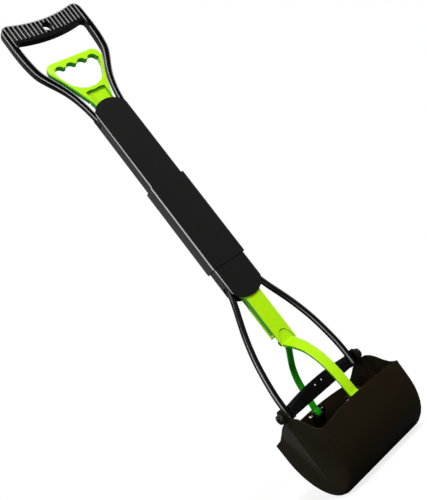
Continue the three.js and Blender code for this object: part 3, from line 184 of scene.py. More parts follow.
def block(across: Point, over: Point, axis: Axis, low: float, high: float) -> Solid:
    """A block.

    Args:
        across: Its start and end on the drawing's first coordinate.
        over: Its start and end on the second.
        axis: Direction across the drawing.
        low: Start on that axis.
        high: End on that axis.

    Returns:
        The closed solid.
    """
    (a, b), (c, d) = across, over
    return prism([(a, c), (b, c), (b, d), (a, d)], axis, low, high)


def turn_and_move(bm: Solid, axis: Axis, place: Vector) -> None:
    """Turns a solid that stands along Z to lie along an axis, and moves it.

    Args:
        bm: The solid.
        axis: Direction that it gets.
        place: How far it is moved after that.
    """
    if axis is Axis.X:
        bmesh.ops.rotate(bm, verts=bm.verts, matrix=Matrix.Rotation(math.pi / 2, 3, "Y"))
    elif axis is Axis.Y:
        bmesh.ops.rotate(bm, verts=bm.verts, matrix=Matrix.Rotation(-math.pi / 2, 3, "X"))
    bmesh.ops.translate(bm, verts=bm.verts, vec=place)


def disc(
    centre: Point, radius: float, axis: Axis, low: float, high: float, sides: int = ROUND_SIDES
) -> Solid:
    """A round solid.

    Args:
        centre: Middle of the circle in the drawing.
        radius: Its radius.
        axis: Direction of the solid.
        low: Start on that axis.
        high: End on that axis.
        sides: Number of faces round it.

    Returns:
        The closed solid.
    """
    bm = bmesh.new()
    bmesh.ops.create_cone(bm, cap_ends=True, segments=sides, radius1=radius, radius2=radius, depth=high - low)
    turn_and_move(bm, axis, spot(*centre, axis, (low + high) / 2))
    return bm


def turned(profile: Sequence[Point], centre: Vector, axis: Axis, sides: int) -> Solid:
    """Spins a profile that starts and ends on the axis.

    Args:
        profile: Points of distance from the axis and place along it.
        centre: Point that the profile's zero lies on.
        axis: Direction of the axis.
        sides: Number of faces round it.

    Returns:
        The closed solid.
    """
    bm = bmesh.new()
    verts = [bm.verts.new((radius, 0, along)) for radius, along in profile]
    edges = [bm.edges.new(pair) for pair in zip(verts, verts[1:])]
    bmesh.ops.spin(
        bm, geom=verts + edges, axis=(0, 0, 1), cent=(0, 0, 0), angle=2 * math.pi, steps=sides, use_merge=True
    )
    bmesh.ops.remove_doubles(bm, verts=bm.verts, dist=NEAR)
    turn_and_move(bm, axis, centre)
    bmesh.ops.recalc_face_normals(bm, faces=bm.faces)
    return bm


def merged(parts: Iterable[Solid]) -> Solid:
    """Puts several meshes in one, as separate shells.

    Args:
        parts: The meshes, which are freed.

    Returns:
        One mesh that holds them all.
    """
    whole = bmesh.new()
    for part in parts:
        scratch = bpy.data.meshes.new("scratch")
        part.to_mesh(scratch)
        part.free()
        whole.from_mesh(scratch)
        bpy.data.meshes.remove(scratch)
    return whole


def mirrored(bm: Solid, axis: Axis = Axis.X) -> Solid:
    """A copy of a mesh on the other side of the middle.

    Args:
        bm: The mesh, which is kept.
        axis: Direction that is turned round.

    Returns:
        The mirrored copy, with its faces outwards.
    """
    other = bm.copy()
    scale = [1.0, 1.0, 1.0]
    scale[axis.value] = -1.0
    bmesh.ops.scale(other, verts=other.verts, vec=scale)
    bmesh.ops.reverse_faces(other, faces=other.faces)
    return other


@dataclass(frozen=True)
class Station:
    """One ring of a swept piece."""

    centre: Vector
    across: Vector
    over: Vector
    half_width: float
    half_depth: float


def round_section(a: float, b: float) -> Point:
    """A plain round or oval section."""
    return a, b


def block_section(a: float, b: float) -> Point:
    """A section with flat sides and rounded corners, from a point of the unit circle."""
    return math.copysign(abs(a) ** BLOCK_POWER, a), math.copysign(abs(b) ** BLOCK_POWER, b)


def sweep(stations: Sequence[Station], sides: int, section: Section = round_section) -> Solid:
    """Bridges circles along a route.

    Args:
        stations: The rings in order.
        sides: Number of faces round the piece.
        section: Turns a point of the unit circle to a point of the section.

    Returns:
        The closed solid.
    """
    bm = bmesh.new()
    before = None
    ends = []
    for number, station in enumerate(stations):
        verts = bmesh.ops.create_circle(bm, cap_ends=False, segments=sides, radius=1)["verts"]
        across, over = station.across * station.half_width, station.over * station.half_depth
        for vert in verts:
            a, b = section(vert.co.x, vert.co.y)
            vert.co = station.centre + across * a + over * b
        edges = list({edge for vert in verts for edge in vert.link_edges})
        if before:
            bmesh.ops.bridge_loops(bm, edges=before + edges)
        before = edges
        if number in (0, len(stations) - 1):
            ends.append(edges)
    for edges in ends:
        bmesh.ops.holes_fill(bm, edges=edges)
    bmesh.ops.recalc_face_normals(bm, faces=bm.faces)
    return bm


def smooth_route(points: Sequence[Sequence[float]], steps: int) -> list[tuple[Vector, Vector, float]]:
    """A centripetal spline through points.

    Args:
        points: Points in space, first to last, no two at one place.
        steps: Number of places in each span.

    Returns:
        Place, heading and span share of each step.
    """
    spots = [Vector(point) for point in points]
    spots = [2 * spots[0] - spots[1], *spots, 2 * spots[-1] - spots[-2]]
    spans = len(spots) - 3
    route = []
    for span in range(spans):
        p = spots[span:span + 4]
        knots = [0.0]
        for one, two in zip(p, p[1:]):
            knots.append(knots[-1] + math.sqrt((two - one).length))
        chord = (knots[2] - knots[1]) * CHORD_SHARE
        for step in range(steps + (span == spans - 1)):
            t = mix(knots[1], knots[2], step / steps)
            heading = (spline_place(p, knots, t + chord) - spline_place(p, knots, t - chord)).normalized()
            route.append((spline_place(p, knots, t), heading, span + step / steps))
    return route


def spline_place(p: Sequence[Vector], knots: Sequence[float], t: float) -> Vector:
    """Point of one span of the spline.

    Args:
        p: The four points round the span.
        knots: Their knots.
        t: Place between the two middle knots.

    Returns:
        The point.
    """
    def between(one: Vector, two: Vector, k1: float, k2: float) -> Vector:
        """Blend of two points over two knots."""
        return one.lerp(two, (t - k1) / (k2 - k1))

    a1 = between(p[0], p[1], knots[0], knots[1])
    a2 = between(p[1], p[2], knots[1], knots[2])
    a3 = between(p[2], p[3], knots[2], knots[3])
    b1 = between(a1, a2, knots[0], knots[2])
    b2 = between(a2, a3, knots[1], knots[3])
    return between(b1, b2, knots[1], knots[2])


def along(values: Sequence[float], place: float) -> float:
    """Value of a table at a row number with its fraction."""
    row = min(int(place), len(values) - 2)
    return mix(values[row], values[row + 1], place - row)


def soften(bm: Solid, test: EdgeTest, width: float, segments: int = 3) -> None:
    """Rounds the edges that pass a test.

    Args:
        bm: The mesh.
        test: Says whether an edge is rounded.
        width: Size of the rounding.
        segments: Faces across it.
    """
    edges = [edge for edge in bm.edges if test(edge)]
    bmesh.ops.bevel(
        bm, geom=edges, offset=width, segments=segments, profile=0.5, affect="EDGES", clamp_overlap=True,
        material=-1,
    )


def sharp(edge: bmesh.types.BMEdge) -> bool:
    """Whether an edge is a corner."""
    return edge.is_manifold and edge.calc_face_angle(0.0) > CORNER_RADIANS


def at_depth(*depths: float) -> EdgeTest:
    """A test of whether an edge lies on one of the planes across Y at these depths."""
    return lambda edge: any(all(abs(vert.co.y - depth) < NEAR for vert in edge.verts) for depth in depths)


def shown(name: str, data: bpy.types.ID) -> Piece:
    """Makes an object of a mesh, a lamp or a camera, in the scene."""
    piece = bpy.data.objects.new(name, data)
    bpy.context.scene.collection.objects.link(piece)
    return piece


def linked(name: str, bm: Solid) -> Piece:
    """Makes an object of a mesh in metres, which is freed."""
    mesh = bpy.data.meshes.new(name)
    bm.to_mesh(mesh)
    bm.free()
    return shown(name, mesh)


def solid_object(name: str, bm: Solid) -> Piece:
    """Makes an object of a mesh in millimetres.

    Args:
        name: Name of the piece.
        bm: The mesh, which is freed.

    Returns:
        The object, at the origin and in metres.
    """
    bmesh.ops.scale(bm, verts=bm.verts, vec=(METRE, METRE, METRE))
    return linked(name, bm)


def combine(piece: Piece, tool: Solid, how: Combine) -> None:
    """Cuts a tool out of a piece, or joins it on.

    Args:
        piece: The object that is changed.
        tool: The tool in millimetres, which is freed.
        how: Whether it is cut or joined.
    """
    other = solid_object("tool", tool)
    change = piece.modifiers.new("change", "BOOLEAN")
    change.operation = how.value
    change.solver = "EXACT"
    change.use_self = True
    change.object = other
    graph = bpy.context.evaluated_depsgraph_get()
    fresh = bpy.data.meshes.new_from_object(piece.evaluated_get(graph))
    piece.modifiers.clear()
    old = piece.data
    piece.data = fresh
    fresh.name = piece.name
    bpy.data.meshes.remove(old)
    bpy.data.objects.remove(other, do_unlink=True)


def smooth(piece: Piece, angle: float = CORNER_DEGREES) -> None:
    """Shades a piece smooth, with corners over an angle kept."""
    piece.data.shade_smooth()
    piece.data.set_sharp_from_angle(angle=math.radians(angle))


def break_edges(piece: Piece, width: float, angle: float = CORNER_DEGREES) -> None:
    """Rounds a piece's corners with a small live bevel.

    Args:
        piece: The object.
        width: Size of the rounding in millimetres.
        angle: Least corner that is rounded, in degrees.
    """
    rounding = piece.modifiers.new("edges", "BEVEL")
    rounding.width = width * METRE
    rounding.segments = EDGE_STEPS
    rounding.limit_method = "ANGLE"
    rounding.angle_limit = math.radians(angle)
    rounding.use_clamp_overlap = True
    rounding.harden_normals = True


def refined(node: Piece, name: str) -> Piece:
    """A smooth copy of a CAD node.

    Args:
        node: The node's object, which is left alone.
        name: Name of the copy.

    Returns:
        The copy.
    """
    bm = bmesh.new()
    bm.from_mesh(node.data)
    bmesh.ops.remove_doubles(bm, verts=bm.verts, dist=WELD_M)
    bmesh.ops.dissolve_limit(
        bm, angle_limit=math.radians(FLAT_DEGREES), use_dissolve_boundaries=False, verts=bm.verts,
        edges=bm.edges,
    )
    piece = linked(name, bm)
    smooth(piece)
    return piece


# Finishes

CLOUD_DETAIL = 3.0
STAIN_DETAIL = 4.0
GRAIN_DETAIL = 2.0
WAVE_DETAIL = 1.0
HOLLOW_SAMPLES = 8
PLASTIC_IOR = 1.5


def srgb(code: str) -> tuple[float, float, float, float]:
    """Linear colour of an sRGB hex code.

    Args:
        code: Six hex digits with a leading #.

    Returns:
        Red, green, blue and one.
    """
    parts = [int(code[i:i + 2], 16) / 255 for i in (1, 3, 5)]
    linear = [part / 12.92 if part <= 0.04045 else ((part + 0.055) / 1.055) ** 2.4 for part in parts]
    return (*linear, 1.0)


def per_mm(size: float) -> float:
    """Texture scale at which one feature measures size millimetres on Object coordinates in metres."""
    return 1 / (size * METRE)


def add_node(
    tree: Tree, kind: str, inputs: dict[str, object] | None = None, **settings: object
) -> bpy.types.Node:
    """Adds a node with its settings and links.

    Args:
        tree: The material's or world's nodes.
        kind: Node type without its ShaderNode prefix.
        inputs: What goes into the inputs of that name or number: a socket, a plain value or a hex code.
        settings: Properties of the node, or values of the inputs of that name with underscores for spaces.

    Returns:
        The node.
    """
    node = tree.nodes.new("ShaderNode" + kind)
    for name, value in settings.items():
        if hasattr(node, name):
            setattr(node, name, value)
        else:
            node.inputs[name.replace("_", " ")].default_value = value
    for name, value in (inputs or {}).items():
        socket = node.inputs[int(name) if name.isdigit() else name]
        if isinstance(value, Socket):
            tree.links.new(value, socket)
        else:
            socket.default_value = srgb(value) if isinstance(value, str) else value
    return node


def new_tree(name: str) -> tuple[bpy.types.Material, Tree]:
    """An empty material with its node tree."""
    material = bpy.data.materials.new(name)
    material.use_nodes = True
    material.node_tree.nodes.clear()
    return material, material.node_tree


def range_of(low: float, high: float, start: float = 0.0, end: float = 1.0) -> dict[str, float | str]:
    """Settings that map the range from low to high smoothly to the one from start to end."""
    return {
        "interpolation_type": "SMOOTHSTEP", "From_Min": low, "From_Max": high, "To_Min": start, "To_Max": end,
    }


def close_material(
    tree: Tree, colour: Socket, rough: tuple[Socket, float, float], bumps: Sequence[tuple[Socket, float]],
    **settings: float,
) -> None:
    """Ends a material with its bumps, shader and output.

    Args:
        tree: The material's nodes.
        colour: Its colour.
        rough: A pattern, and the least and most roughness that it stands for.
        bumps: Patterns, each with its depth in millimetres.
        settings: Values of the shader's inputs, with underscores for spaces.
    """
    pattern, least, most = rough
    share = add_node(tree, "MapRange", {"Value": pattern}, To_Min=least, To_Max=most)
    surface = {"Base Color": colour, "Roughness": share.outputs["Result"]}
    normal = {}
    for height, depth in bumps:
        bump = add_node(tree, "Bump", {"Height": height, **normal}, Strength=1.0, Distance=depth * METRE)
        normal = {"Normal": bump.outputs["Normal"]}
    shader = add_node(tree, "BsdfPrincipled", {**surface, **normal}, **settings)
    add_node(tree, "OutputMaterial", {"Surface": shader.outputs["BSDF"]})


@dataclass(frozen=True)
class CrestHighlight:
    """Painted highlight on a moulding's highest faces, front and back: the crests lightened as if they caught
    the light.
    """

    colour: str
    levels: tuple[float, float]
    depths: tuple[float, float]
    fade: float = 0.35

    def lay(self, tree: Tree, place: Socket, colour: Socket) -> Socket:
        """Lays the painted highlight over a colour.

        Args:
            tree: The material's nodes.
            place: Object coordinates.
            colour: The colour below.

        Returns:
            The colour with its highest faces painted light.
        """
        parts = add_node(tree, "SeparateXYZ", {"Vector": place}).outputs
        limits = range_of(*(size * METRE for size in (*self.levels, *self.depths)))
        face = add_node(tree, "MapRange", {"Value": parts["Z"]}, **limits).outputs["Result"]
        height = add_node(tree, "Math", {"0": parts["Y"]}, operation="ABSOLUTE").outputs[0]
        above = add_node(tree, "Math", {"0": height, "1": face}, operation="SUBTRACT").outputs[0]
        limits = range_of(-self.fade * METRE, -self.fade * METRE / 2)
        share = add_node(tree, "MapRange", {"Value": above}, **limits).outputs["Result"]
        mixed = add_node(tree, "Mix", {"0": share, "6": colour, "7": self.colour}, data_type="RGBA")
        return mixed.outputs[2]


@dataclass(frozen=True)
class MouldedPlastic:
    """An injection-moulded plastic: an even colour, faint flow clouds and a fine tool texture."""

    name: str
    slot: str
    colour: str
    cloud: str
    # Colour of the painted shade in hollows
    recess: str | None = None
    roughness: float = 0.35
    roughness_spread: float = 0.08
    specular: float = 0.3
    cloud_mm: float = 14.0
    grain_mm: float = 0.8
    grain_depth_mm: float = 0.008
    wave_mm: float = 6.0
    wave_depth_mm: float = 0.01
    recess_reach_mm: float = 7.0
    recess_stops: tuple[float, float] = (0.35, 0.85)
    # Painted light on faces that turn one way: its tone, the way, and the shares where it starts and where it
    # is full
    painted_light: str | None = None
    painted_light_way: tuple[float, float, float] = (-0.65, 0.0, -0.76)
    painted_light_stops: tuple[float, float] = (0.2, 0.75)
    # Painted highlight on the crests, where there is one
    crest_highlight: CrestHighlight | None = None

    def tones(self, tree: Tree, place: Socket, facing: Socket, clouds: Socket) -> Socket:
        """The colour with what lies over it.

        Args:
            tree: The material's nodes.
            place: Object coordinates.
            facing: Way that the surface turns.
            clouds: Pattern of the flow clouds.

        Returns:
            The whole colour.
        """
        colour = self.colour
        layers = [(clouds, colour, self.cloud)]
        if self.recess:
            # Painted shade: hollows are darkened towards the recess colour, where less light gets into them
            reach = self.recess_reach_mm * METRE
            hollow = add_node(tree, "AmbientOcclusion", samples=HOLLOW_SAMPLES, Distance=reach).outputs["AO"]
            share = add_node(tree, "MapRange", {"Value": hollow}, **range_of(*self.recess_stops))
            layers.append((share.outputs["Result"], self.recess, None))
        if self.painted_light:
            # Painted light: faces that turn one way get another tone, painted shade on undersides and a
            # painted highlight on corners
            way = add_node(tree, "VectorMath", {"0": facing, "1": self.painted_light_way}, operation="DOT_PRODUCT")
            share = add_node(tree, "MapRange", {"Value": way.outputs["Value"]}, **range_of(*self.painted_light_stops))
            layers.append((share.outputs["Result"], None, self.painted_light))
        for share, low, high in layers:
            # The colour so far takes the place that a layer leaves empty
            ends = {"0": share, "6": low or colour, "7": high or colour}
            colour = add_node(tree, "Mix", ends, data_type="RGBA").outputs[2]
        # The painted crest highlight goes over the rest
        return self.crest_highlight.lay(tree, place, colour) if self.crest_highlight else colour

    def build(self) -> bpy.types.Material:
        """Makes the material.

        Returns:
            The material.
        """
        material, tree = new_tree(self.name)
        where = add_node(tree, "TexCoord").outputs
        place = where["Object"]
        clouds, grain, wave = (
            add_node(tree, "TexNoise", {"Vector": place}, Scale=per_mm(size), Detail=detail).outputs["Fac"]
            for size, detail in (
                (self.cloud_mm, CLOUD_DETAIL), (self.grain_mm, GRAIN_DETAIL), (self.wave_mm, WAVE_DETAIL),
            )
        )
        colour = self.tones(tree, place, where["Normal"], clouds)
        spread = self.roughness_spread
        close_material(
            tree, colour, (clouds, self.roughness - spread, self.roughness + spread),
            ((wave, self.wave_depth_mm), (grain, self.grain_depth_mm)),
            IOR=PLASTIC_IOR, Specular_IOR_Level=self.specular,
        )
        return material


@dataclass(frozen=True)
class WorkedSteel:
    """A steel part: turned, drawn or blackened."""

    name: str
    slot: str
    colour: str
    stain: str
    metallic: float = 1.0
    roughness: float = 0.3
    roughness_share: float = 0.3
    line_mm: float = 0.4
    line_depth_mm: float = 0.01
    stain_mm: float = 3.0

    def build(self) -> bpy.types.Material:
        """Makes the material.

        Returns:
            The material.
        """
        material, tree = new_tree(self.name)
        place = add_node(tree, "TexCoord").outputs["Object"]
        stain, line = (
            add_node(tree, "TexNoise", {"Vector": place}, Scale=per_mm(size), Detail=detail).outputs["Fac"]
            for size, detail in ((self.stain_mm, STAIN_DETAIL), (self.line_mm, GRAIN_DETAIL))
        )
        mixed = add_node(tree, "Mix", {"0": stain, "6": self.colour, "7": self.stain}, data_type="RGBA")
        least, most = (self.roughness * (1 + way * self.roughness_share) for way in (-1, 1))
        bumps = ((line, self.line_depth_mm),)
        close_material(tree, mixed.outputs[2], (stain, least, most), bumps, Metallic=self.metallic)
        return material


Finish = MouldedPlastic | WorkedSteel


@dataclass
class Finishes:
    """Every finish of the scooper, each made once."""

    # Spark-textured ABS shells: an even soft charcoal with a fine dry grain, and a painted highlight along
    # the front left corner
    shaft: MouldedPlastic = MouldedPlastic(
        "abs_spark_textured_charcoal", "satin_black", "#060606", "#080807", roughness=0.26,
        roughness_spread=0.04, specular=0.12, grain_mm=0.5, grain_depth_mm=0.004,
        painted_light="#aeaeae", painted_light_way=(-0.71, -0.71, 0.0), painted_light_stops=(0.9, 0.97),
    )
    # Glass-filled nylon grip: near black, with a painted grey highlight on its crests
    grip: MouldedPlastic = MouldedPlastic(
        "nylon_gripped_black", "gloss_black", "#040404", "#060606", roughness=0.3, specular=0.04,
        crest_highlight=CrestHighlight("#949494", (560.0, 650.0), (3.4, 5.5)),
    )
    # The same nylon where no hand reaches: plain near black
    nylon: MouldedPlastic = MouldedPlastic(
        "nylon_moulded_black", "gloss_black", "#050505", "#080808", roughness=0.3, specular=0.06,
    )
    # Rods sprayed with gloss enamel: deep black, a slow orange-peel ripple and a painted highlight line along
    # the front left
    enamel: MouldedPlastic = MouldedPlastic(
        "enamel_sprayed_black", "gloss_black", "#000000", "#020202", roughness=0.12, roughness_spread=0.02,
        specular=0.14, wave_mm=2.5, wave_depth_mm=0.03, grain_depth_mm=0.0,
        painted_light="#8a8a8a", painted_light_way=(-0.71, -0.71, 0.0), painted_light_stops=(0.96, 0.995),
    )
    # Polypropylene bucket: brown-black with faint olive clouds, and painted shade that turns it black inside
    bucket: MouldedPlastic = MouldedPlastic(
        "polypropylene_moulded_black", "bucket_black", "#20140b", "#19190e", recess="#000000", roughness=0.5,
        specular=0.03, cloud_mm=40.0, wave_mm=25.0, wave_depth_mm=0.2,
        recess_reach_mm=50.0, recess_stops=(0.12, 0.5),
    )
    # Lime ABS: bright and glossy where light reaches it, with a painted shade of green on faces that turn
    # down and to the left
    lime: MouldedPlastic = MouldedPlastic(
        "abs_moulded_lime", "lime_green", "#a6e002", "#b0e606", painted_light="#239a18", roughness=0.3, specular=0.14,
        grain_depth_mm=0.003,
    )
    # Painted shade: the rear link, thicker and less lit, gets a deeper green copy of the same plastic, with
    # more painted shade on its sides
    shaded_lime: MouldedPlastic = MouldedPlastic(
        "abs_moulded_green_painted_shade", "lime_green", "#26b812", "#2ec41a", painted_light="#189010", roughness=0.3, specular=0.12,
        grain_depth_mm=0.003,
    )
    # Oil-blackened spring and screw steel: dark with a dull sheen
    dark_steel: WorkedSteel = WorkedSteel(
        "steel_black_oxide", "dark_steel", "#2c2c2d", "#3a3938", metallic=0.8, roughness=0.4,
    )
    # Plain turned steel pins: grey and bright
    bright_steel: WorkedSteel = WorkedSteel(
        "steel_turned_bright", "bright_steel", "#b9babb", "#cfd0d0", roughness=0.25,
    )
    made: dict[str, bpy.types.Material] = field(default_factory=dict)

    def material(self, finish: Finish) -> bpy.types.Material:
        """The material of a finish, made when it is first asked for.

        Args:
            finish: One of the finishes above.

        Returns:
            Its material.
        """
        if finish.name not in self.made:
            self.made[finish.name] = finish.build()
        return self.made[finish.name]


@dataclass
class Bench:
    """Where pieces are put on the frame: it knows the CAD nodes and the finishes."""

    nodes: dict[str, Piece]
    finishes: Finishes = field(default_factory=Finishes)

    def fit(self, piece: Piece, body: str, finish: Finish, *nodes: str) -> None:
        """Dresses a piece and puts it in the place of CAD nodes.

        Args:
            piece: The finished piece.
            body: CAD body that it moves with.
            finish: Its finish, which also holds a material slot name.
            nodes: CAD nodes that it stands for.
        """
        piece.data.materials.clear()
        piece.data.materials.append(self.finishes.material(finish))
        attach(piece, body)
        if nodes:
            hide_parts(*nodes)
        LOG.info("%s: %d faces on %s", piece.name, len(piece.data.polygons), body)

    def refit(self, body: str, finish: Finish, *nodes: str) -> None:
        """Puts a smooth, dressed copy of each of these CAD nodes in its place."""
        for node in nodes:
            self.fit(refined(self.nodes[node], node + "_look"), body, finish, node)


@dataclass
class GripFrame:
    """The ribbed D-grip with its two channelled arms, moulded in one."""

    half_length: float = 60.4
    half_depth: float = 5.5
    middle_dip: float = 7.1
    bar_height: float = 27.3
    under_rise: float = 5.6
    sill_drop: float = 1.0
    corner_drop: float = 12.0
    edge_round: float = 1.6
    edge_steps: int = 4
    arm_inset: float = 8.6
    fillet: float = 6.0
    rib_pitch: float = 5.97
    grooves: int = 18
    groove_width: float = 4.5
    groove_depth: float = 1.8
    groove_end: float = 1.7
    groove_round: float = 0.7
    chin_depth: float = 0.7
    chin_steps: int = 12
    rib_foot: float = 6.1
    hole_radius: float = 6.6
    hole_drop: float = 19.4
    collar: float = 1.9
    collar_set_back: float = 0.35
    collar_round: float = 0.7
    hole_sides: int = 40
    worn_edge: float = 0.3
    corner_degrees: float = 38.0
    edge_degrees: float = 40.0
    corner_steps: int = 10
    crown_steps: int = 28
    sill_steps: int = 24
    channel_steps: int = 8
    arm_steps: int = 4
    top_spread: float = 56.5
    top_half: float = 4.5
    rail_half: float = 3.2
    rail_half_depth: float = 3.4
    rail_end: float = 325.6
    lip: float = 1.25
    channel_floor: float = 2.2
    channel_rise: float = 2.8
    channel_pull: float = 1.0
    first_lip: float = 54.6
    taper: tuple[float, float] = (560.0, 650.0)
    slice_step: float = 5.0
    run: Sequence[Share] = (
        (-0.31, 0, 0), (-0.2, 0.012, 0), (-0.1, 0.045, 0), (0, 0.097, 0), (0.1, 0.145, 0), (0.2, 0.206, 0.05),
        (0.315, 0.311, 0.15), (0.404, 0.427, 0.3), (0.48, 0.557, 0.45), (0.565, 0.72, 0.62),
        (0.66, 0.876, 0.78), (0.765, 0.947, 0.9), (0.88, 0.984, 1), (1.02, 1, 1),
    )

    @property
    def foot(self) -> float:
        """Height of the bar's underside at its middle."""
        return GRIP_TOP_Z - self.middle_dip - self.bar_height

    def underside(self, x: float) -> float:
        """Height of the bar's underside at a distance from the middle."""
        return self.foot + self.under_rise * (x / (self.half_length - 2 * self.arm_inset)) ** 2

    def crown(self, x: float) -> float:
        """Height of the bar's top at a distance from the middle."""
        share = min(abs(x) / (self.half_length - self.corner_drop), 1.0)
        return GRIP_TOP_Z - self.middle_dip * (1 - share ** 2)

    def chin(self, x: float) -> float:
        """Height at which the ribs end above the smooth underside."""
        return (self.underside(x) + self.foot) / 2 + self.rib_foot

    def arm_side(self, offset: float) -> list[Point]:
        """One long edge of the right arm, from the rail's end up to the bar.

        Args:
            offset: Its sign tells the side, and its size less one is how far inside the arm's edge it lies.

        Returns:
            Points of the edge.
        """
        rise = self.foot - UPPER_SHOULDER_Z
        spots = [(RAIL_X, 0, self.rail_end)]
        halves = [self.rail_half]
        for height, spread, thickness in self.run:
            spots.append((mix(RAIL_X, self.top_spread, spread), 0, UPPER_SHOULDER_Z + rise * height))
            halves.append(mix(self.rail_half, self.top_half, thickness))
        side = math.copysign(1, offset)
        inset = abs(offset) - 1
        edge = []
        for place, heading, span in smooth_route(spots, self.arm_steps):
            reach = side * (along(halves, span) - inset)
            edge.append((place.x + heading.z * reach, place.z - heading.x * reach))
        return edge

    def outline(self) -> list[Point]:
        """The frame's front view: up the right arm, over the top, down the left arm and back inside.

        Returns:
            Its points in order.
        """
        top, drop = GRIP_TOP_Z, self.corner_drop
        outer = [p for p in self.arm_side(1.0) if p[1] < self.foot]
        inner = [p for p in self.arm_side(-1.0) if p[1] < self.foot - self.fillet / 2]
        side = self.half_length
        inner_side = self.top_spread - self.top_half
        under = self.foot + self.under_rise
        corner = side - drop
        steps = self.corner_steps
        right = [*outer, *curve((side, top - drop), (side, top), (corner, top), steps), (corner, top)]
        crown = curve((corner, top), (0, top - 2 * self.middle_dip), (-corner, top), self.crown_steps)[1:]
        inside_left = [(-x, z) for x, z in inner]
        low = self.foot - self.sill_drop
        start, end = (-inner_side, low), (-inner_side + self.fillet, under)
        sill = [
            *curve(start, (-inner_side, under), end, steps),
            *curve(end, (0, self.foot - self.under_rise), (-end[0], under), self.sill_steps),
            *curve((-end[0], under), (inner_side, under), (inner_side, low), steps),
            (inner_side, low),
        ]
        return [*right, *crown, *other_side(right), *inside_left, *sill, *reversed(inner)]

    def channel(self) -> list[Point]:
        """Front view of the right arm's channel, up into the bar's corner.

        Returns:
            Its points in order.
        """
        inset = 1.0 + self.lip
        outer = [p for p in self.arm_side(inset) if UPPER_SHOULDER_Z < p[1] < self.foot]
        inner = [p for p in self.arm_side(-inset) if UPPER_SHOULDER_Z < p[1] < self.foot]
        side = self.half_length - self.lip
        top = GRIP_TOP_Z - self.channel_rise
        end = (self.first_lip, top)
        return [
            *outer,
            *curve((side, top - self.corner_drop), (side, top - self.channel_pull), end, self.channel_steps),
            end,
            (self.first_lip, self.foot + self.fillet),
            *reversed(inner),
        ]

    def thin(self, bm: Solid) -> Solid:
        """Makes the frame thinner towards the shaft, where the arms become rails.

        Args:
            bm: A solid at full depth.

        Returns:
            The same solid.
        """
        low, high = self.taper
        level = low
        while level < high + self.slice_step / 2:
            bmesh.ops.bisect_plane(
                bm, geom=[*bm.verts, *bm.edges, *bm.faces], plane_co=(0, 0, level), plane_no=(0, 0, 1)
            )
            level += self.slice_step
        least = self.rail_half_depth / self.half_depth
        for vert in bm.verts:
            share = min(max((vert.co.z - low) / (high - low), 0.0), 1.0)
            vert.co.y *= mix(least, 1.0, share * share * (3 - 2 * share))
        return bm

    @property
    def past(self) -> float:
        """A depth beyond the frame's faces, for the tools that cut it."""
        return self.half_depth + self.edge_round

    def hollows(self) -> Solid:
        """The arms' channels and the grooves between the ribs, front and back.

        Returns:
            What they cut away.
        """
        right = self.thin(prism(self.channel(), Axis.Y, -2 * self.past, -self.channel_floor))
        tools = [right, mirrored(right)]
        half, floor = self.groove_width / 2, -self.half_depth + self.groove_depth
        for i in range(self.grooves):
            x = (i - (self.grooves - 1) / 2) * self.rib_pitch
            low, high = self.chin(x) - self.groove_depth, self.crown(x) - self.groove_end
            groove = block((x - half, x + half), (-self.past, floor), Axis.Z, low, high)
            soften(groove, at_depth(floor), self.groove_round, EDGE_STEPS)
            tools.append(groove)
        return merged([*tools, *[mirrored(tool, Axis.Y) for tool in tools]])

    def chins(self) -> Solid:
        """The smooth set-back below the ribs, front and back.

        Returns:
            What it cuts away.
        """
        reach, steps, low = self.first_lip - self.lip, self.chin_steps, self.foot - self.past
        spots = [reach * (i / steps - 1) for i in range(2 * steps + 1)]
        edge = [(x, self.chin(x)) for x in reversed(spots)]
        floor = -self.half_depth + self.chin_depth
        front = prism([(reach, low), *edge, (-reach, low)], Axis.Y, -self.past, floor)
        return merged([front, mirrored(front, Axis.Y)])

    def frame(self) -> Piece:
        """The whole frame with its channels, grooves, collar and hanging hole.

        Returns:
            The piece.
        """
        depth = self.half_depth
        bm = prism(self.outline(), Axis.Y, -depth, depth)
        soften(
            bm, lambda edge: all(abs(abs(vert.co.y) - depth) < NEAR for vert in edge.verts), self.edge_round,
            self.edge_steps,
        )
        piece = solid_object("grip", self.thin(bm))
        combine(piece, self.hollows(), Combine.CUT)
        combine(piece, self.chins(), Combine.CUT)
        centre = (0, GRIP_TOP_Z - self.hole_drop)
        face, sides = depth - self.collar_set_back, self.hole_sides
        ring = disc(centre, self.hole_radius + self.collar, Axis.Y, -face, face, sides)
        soften(ring, sharp, self.collar_round)
        combine(piece, ring, Combine.JOIN)
        hole = disc(centre, self.hole_radius, Axis.Y, -self.past, self.past, sides)
        combine(piece, hole, Combine.CUT)
        smooth(piece, self.corner_degrees)
        break_edges(piece, self.worn_edge, self.edge_degrees)
        return piece

    def build(self, bench: Bench) -> None:
        """Builds and dresses the grip."""
        bench.fit(self.frame(), "upper_frame", bench.finishes.grip, "grip_frame")


